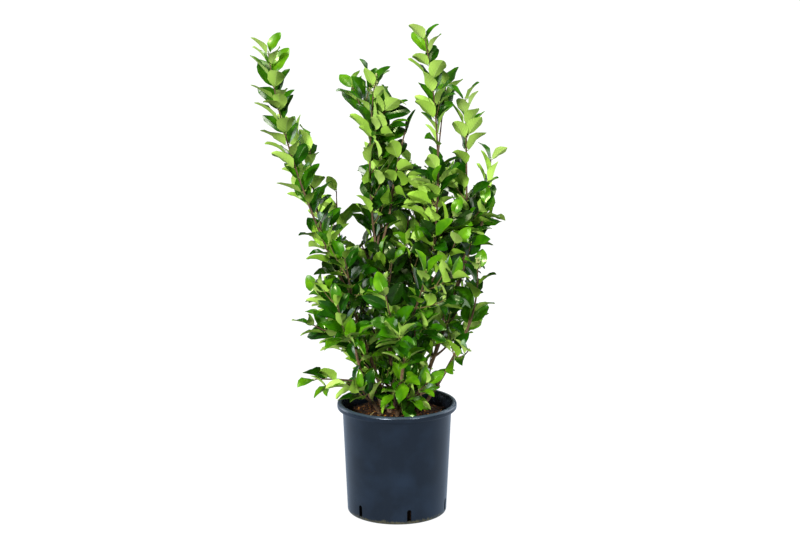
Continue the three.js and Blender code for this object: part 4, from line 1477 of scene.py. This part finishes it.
# A piece of shapes on points: each row has a place, a turn, a size and the order of its shape
def makeFoliage(name, tree, rows, shapes, upper, under, rib):
    places, turns, sizes, picks = zip(*rows)
    mesh = meshFrom(name, [place * mm for place in places])
    setAttribute(mesh, "leafTurn", "FLOAT_VECTOR", [tuple(turn) for turn in turns])
    setAttribute(mesh, "leafSize", "FLOAT", [size * mm for size in sizes])
    setAttribute(mesh, "leafPick", "INT", picks)
    piece = growByNodes(linkedObject(name, mesh), tree, {
        "Shapes": shapes, "Upper": upper, "Under": under, "Rib": rib})
    finishPiece(piece, "foliage")


def makeLeaves(tree):
    shapes = bpy.data.collections.new("leafShapes")
    for order, (name, shape) in enumerate(leafShapes.items()):
        linkedObject(f"leaf{order}{name.capitalize()}", leafMesh(name, shape), shapes)
    for tone, colours in leafTones.items():
        rows = [(leaf["root"], turnOf(leaf), leaf["length"], shapeOf(leaf))
                for leaf in leaves if toneOf(leaf) == tone]
        under = makeUnderSkin("matteLeafUnder" + tone, colours["under"])
        rib = makeUnderSkin("paleLeafRib" + tone, colours["rib"])
        makeFoliage("leaves" + tone, tree, rows, shapes, makeUpperSkin(tone), under, rib)


# Buds: round closed flower buds on the spires, and a small slim bud at every tip
buds = {
    "flower": {"colours": ("#a6ae62", "#c8cd8c"), "roughness": 0.6, "width": 1},
    "tip": {"colours": ("#809f32", "#9dbb48"), "roughness": 0.5, "width": 0.45},
}
budScale = 1.5
tipBudSize = 6


# Bud scales: soft and slightly waxy, mottled in two pale greens
def makeBudSkin(name):
    material, add, shader = newMaterial("budScales" + name.capitalize())
    place = add("ShaderNodeTexCoord").outputs["Object"]
    scales, colour = mottled(add, place, budScale, buds[name]["colours"], (0.35, 0.65))
    bump = add("ShaderNodeBump", {"Height": scales, "Strength": 0.4, "Distance": 0.4 * mm})
    setInputs(shader, {"Base Color": colour, "Normal": bump, "Roughness": buds[name]["roughness"]})
    return material


# A bud is one long and stands on its foot, along Y
def makeBuds(name, tree, rows):
    width = buds[name]["width"]
    ball = bmesh.new()
    bmesh.ops.create_icosphere(ball, subdivisions=1, radius=0.5)
    for vertex in ball.verts:
        x, y, z = vertex.co
        vertex.co = (x * width, y + 0.5, z * width)
    mesh = meshFromShape(name + "Bud", ball)
    mesh.shade_smooth()
    shapes = bpy.data.collections.new(name + "Buds")
    linkedObject(name + "Bud", mesh, shapes)
    skin = makeBudSkin(name)
    turned = [(place, way.to_track_quat("Y", "Z").to_euler(), size, 0) for place, way, size in rows]
    makeFoliage(name + "Buds", tree, turned, shapes, skin, skin, skin)


leafTree = makeLeafTree()
makeLeaves(leafTree)
makeBuds("flower", leafTree, [(place, worldUp, size) for place, size in flowerBuds])
makeBuds("tip", leafTree, [(place, way, tipBudSize) for place, way in tips])
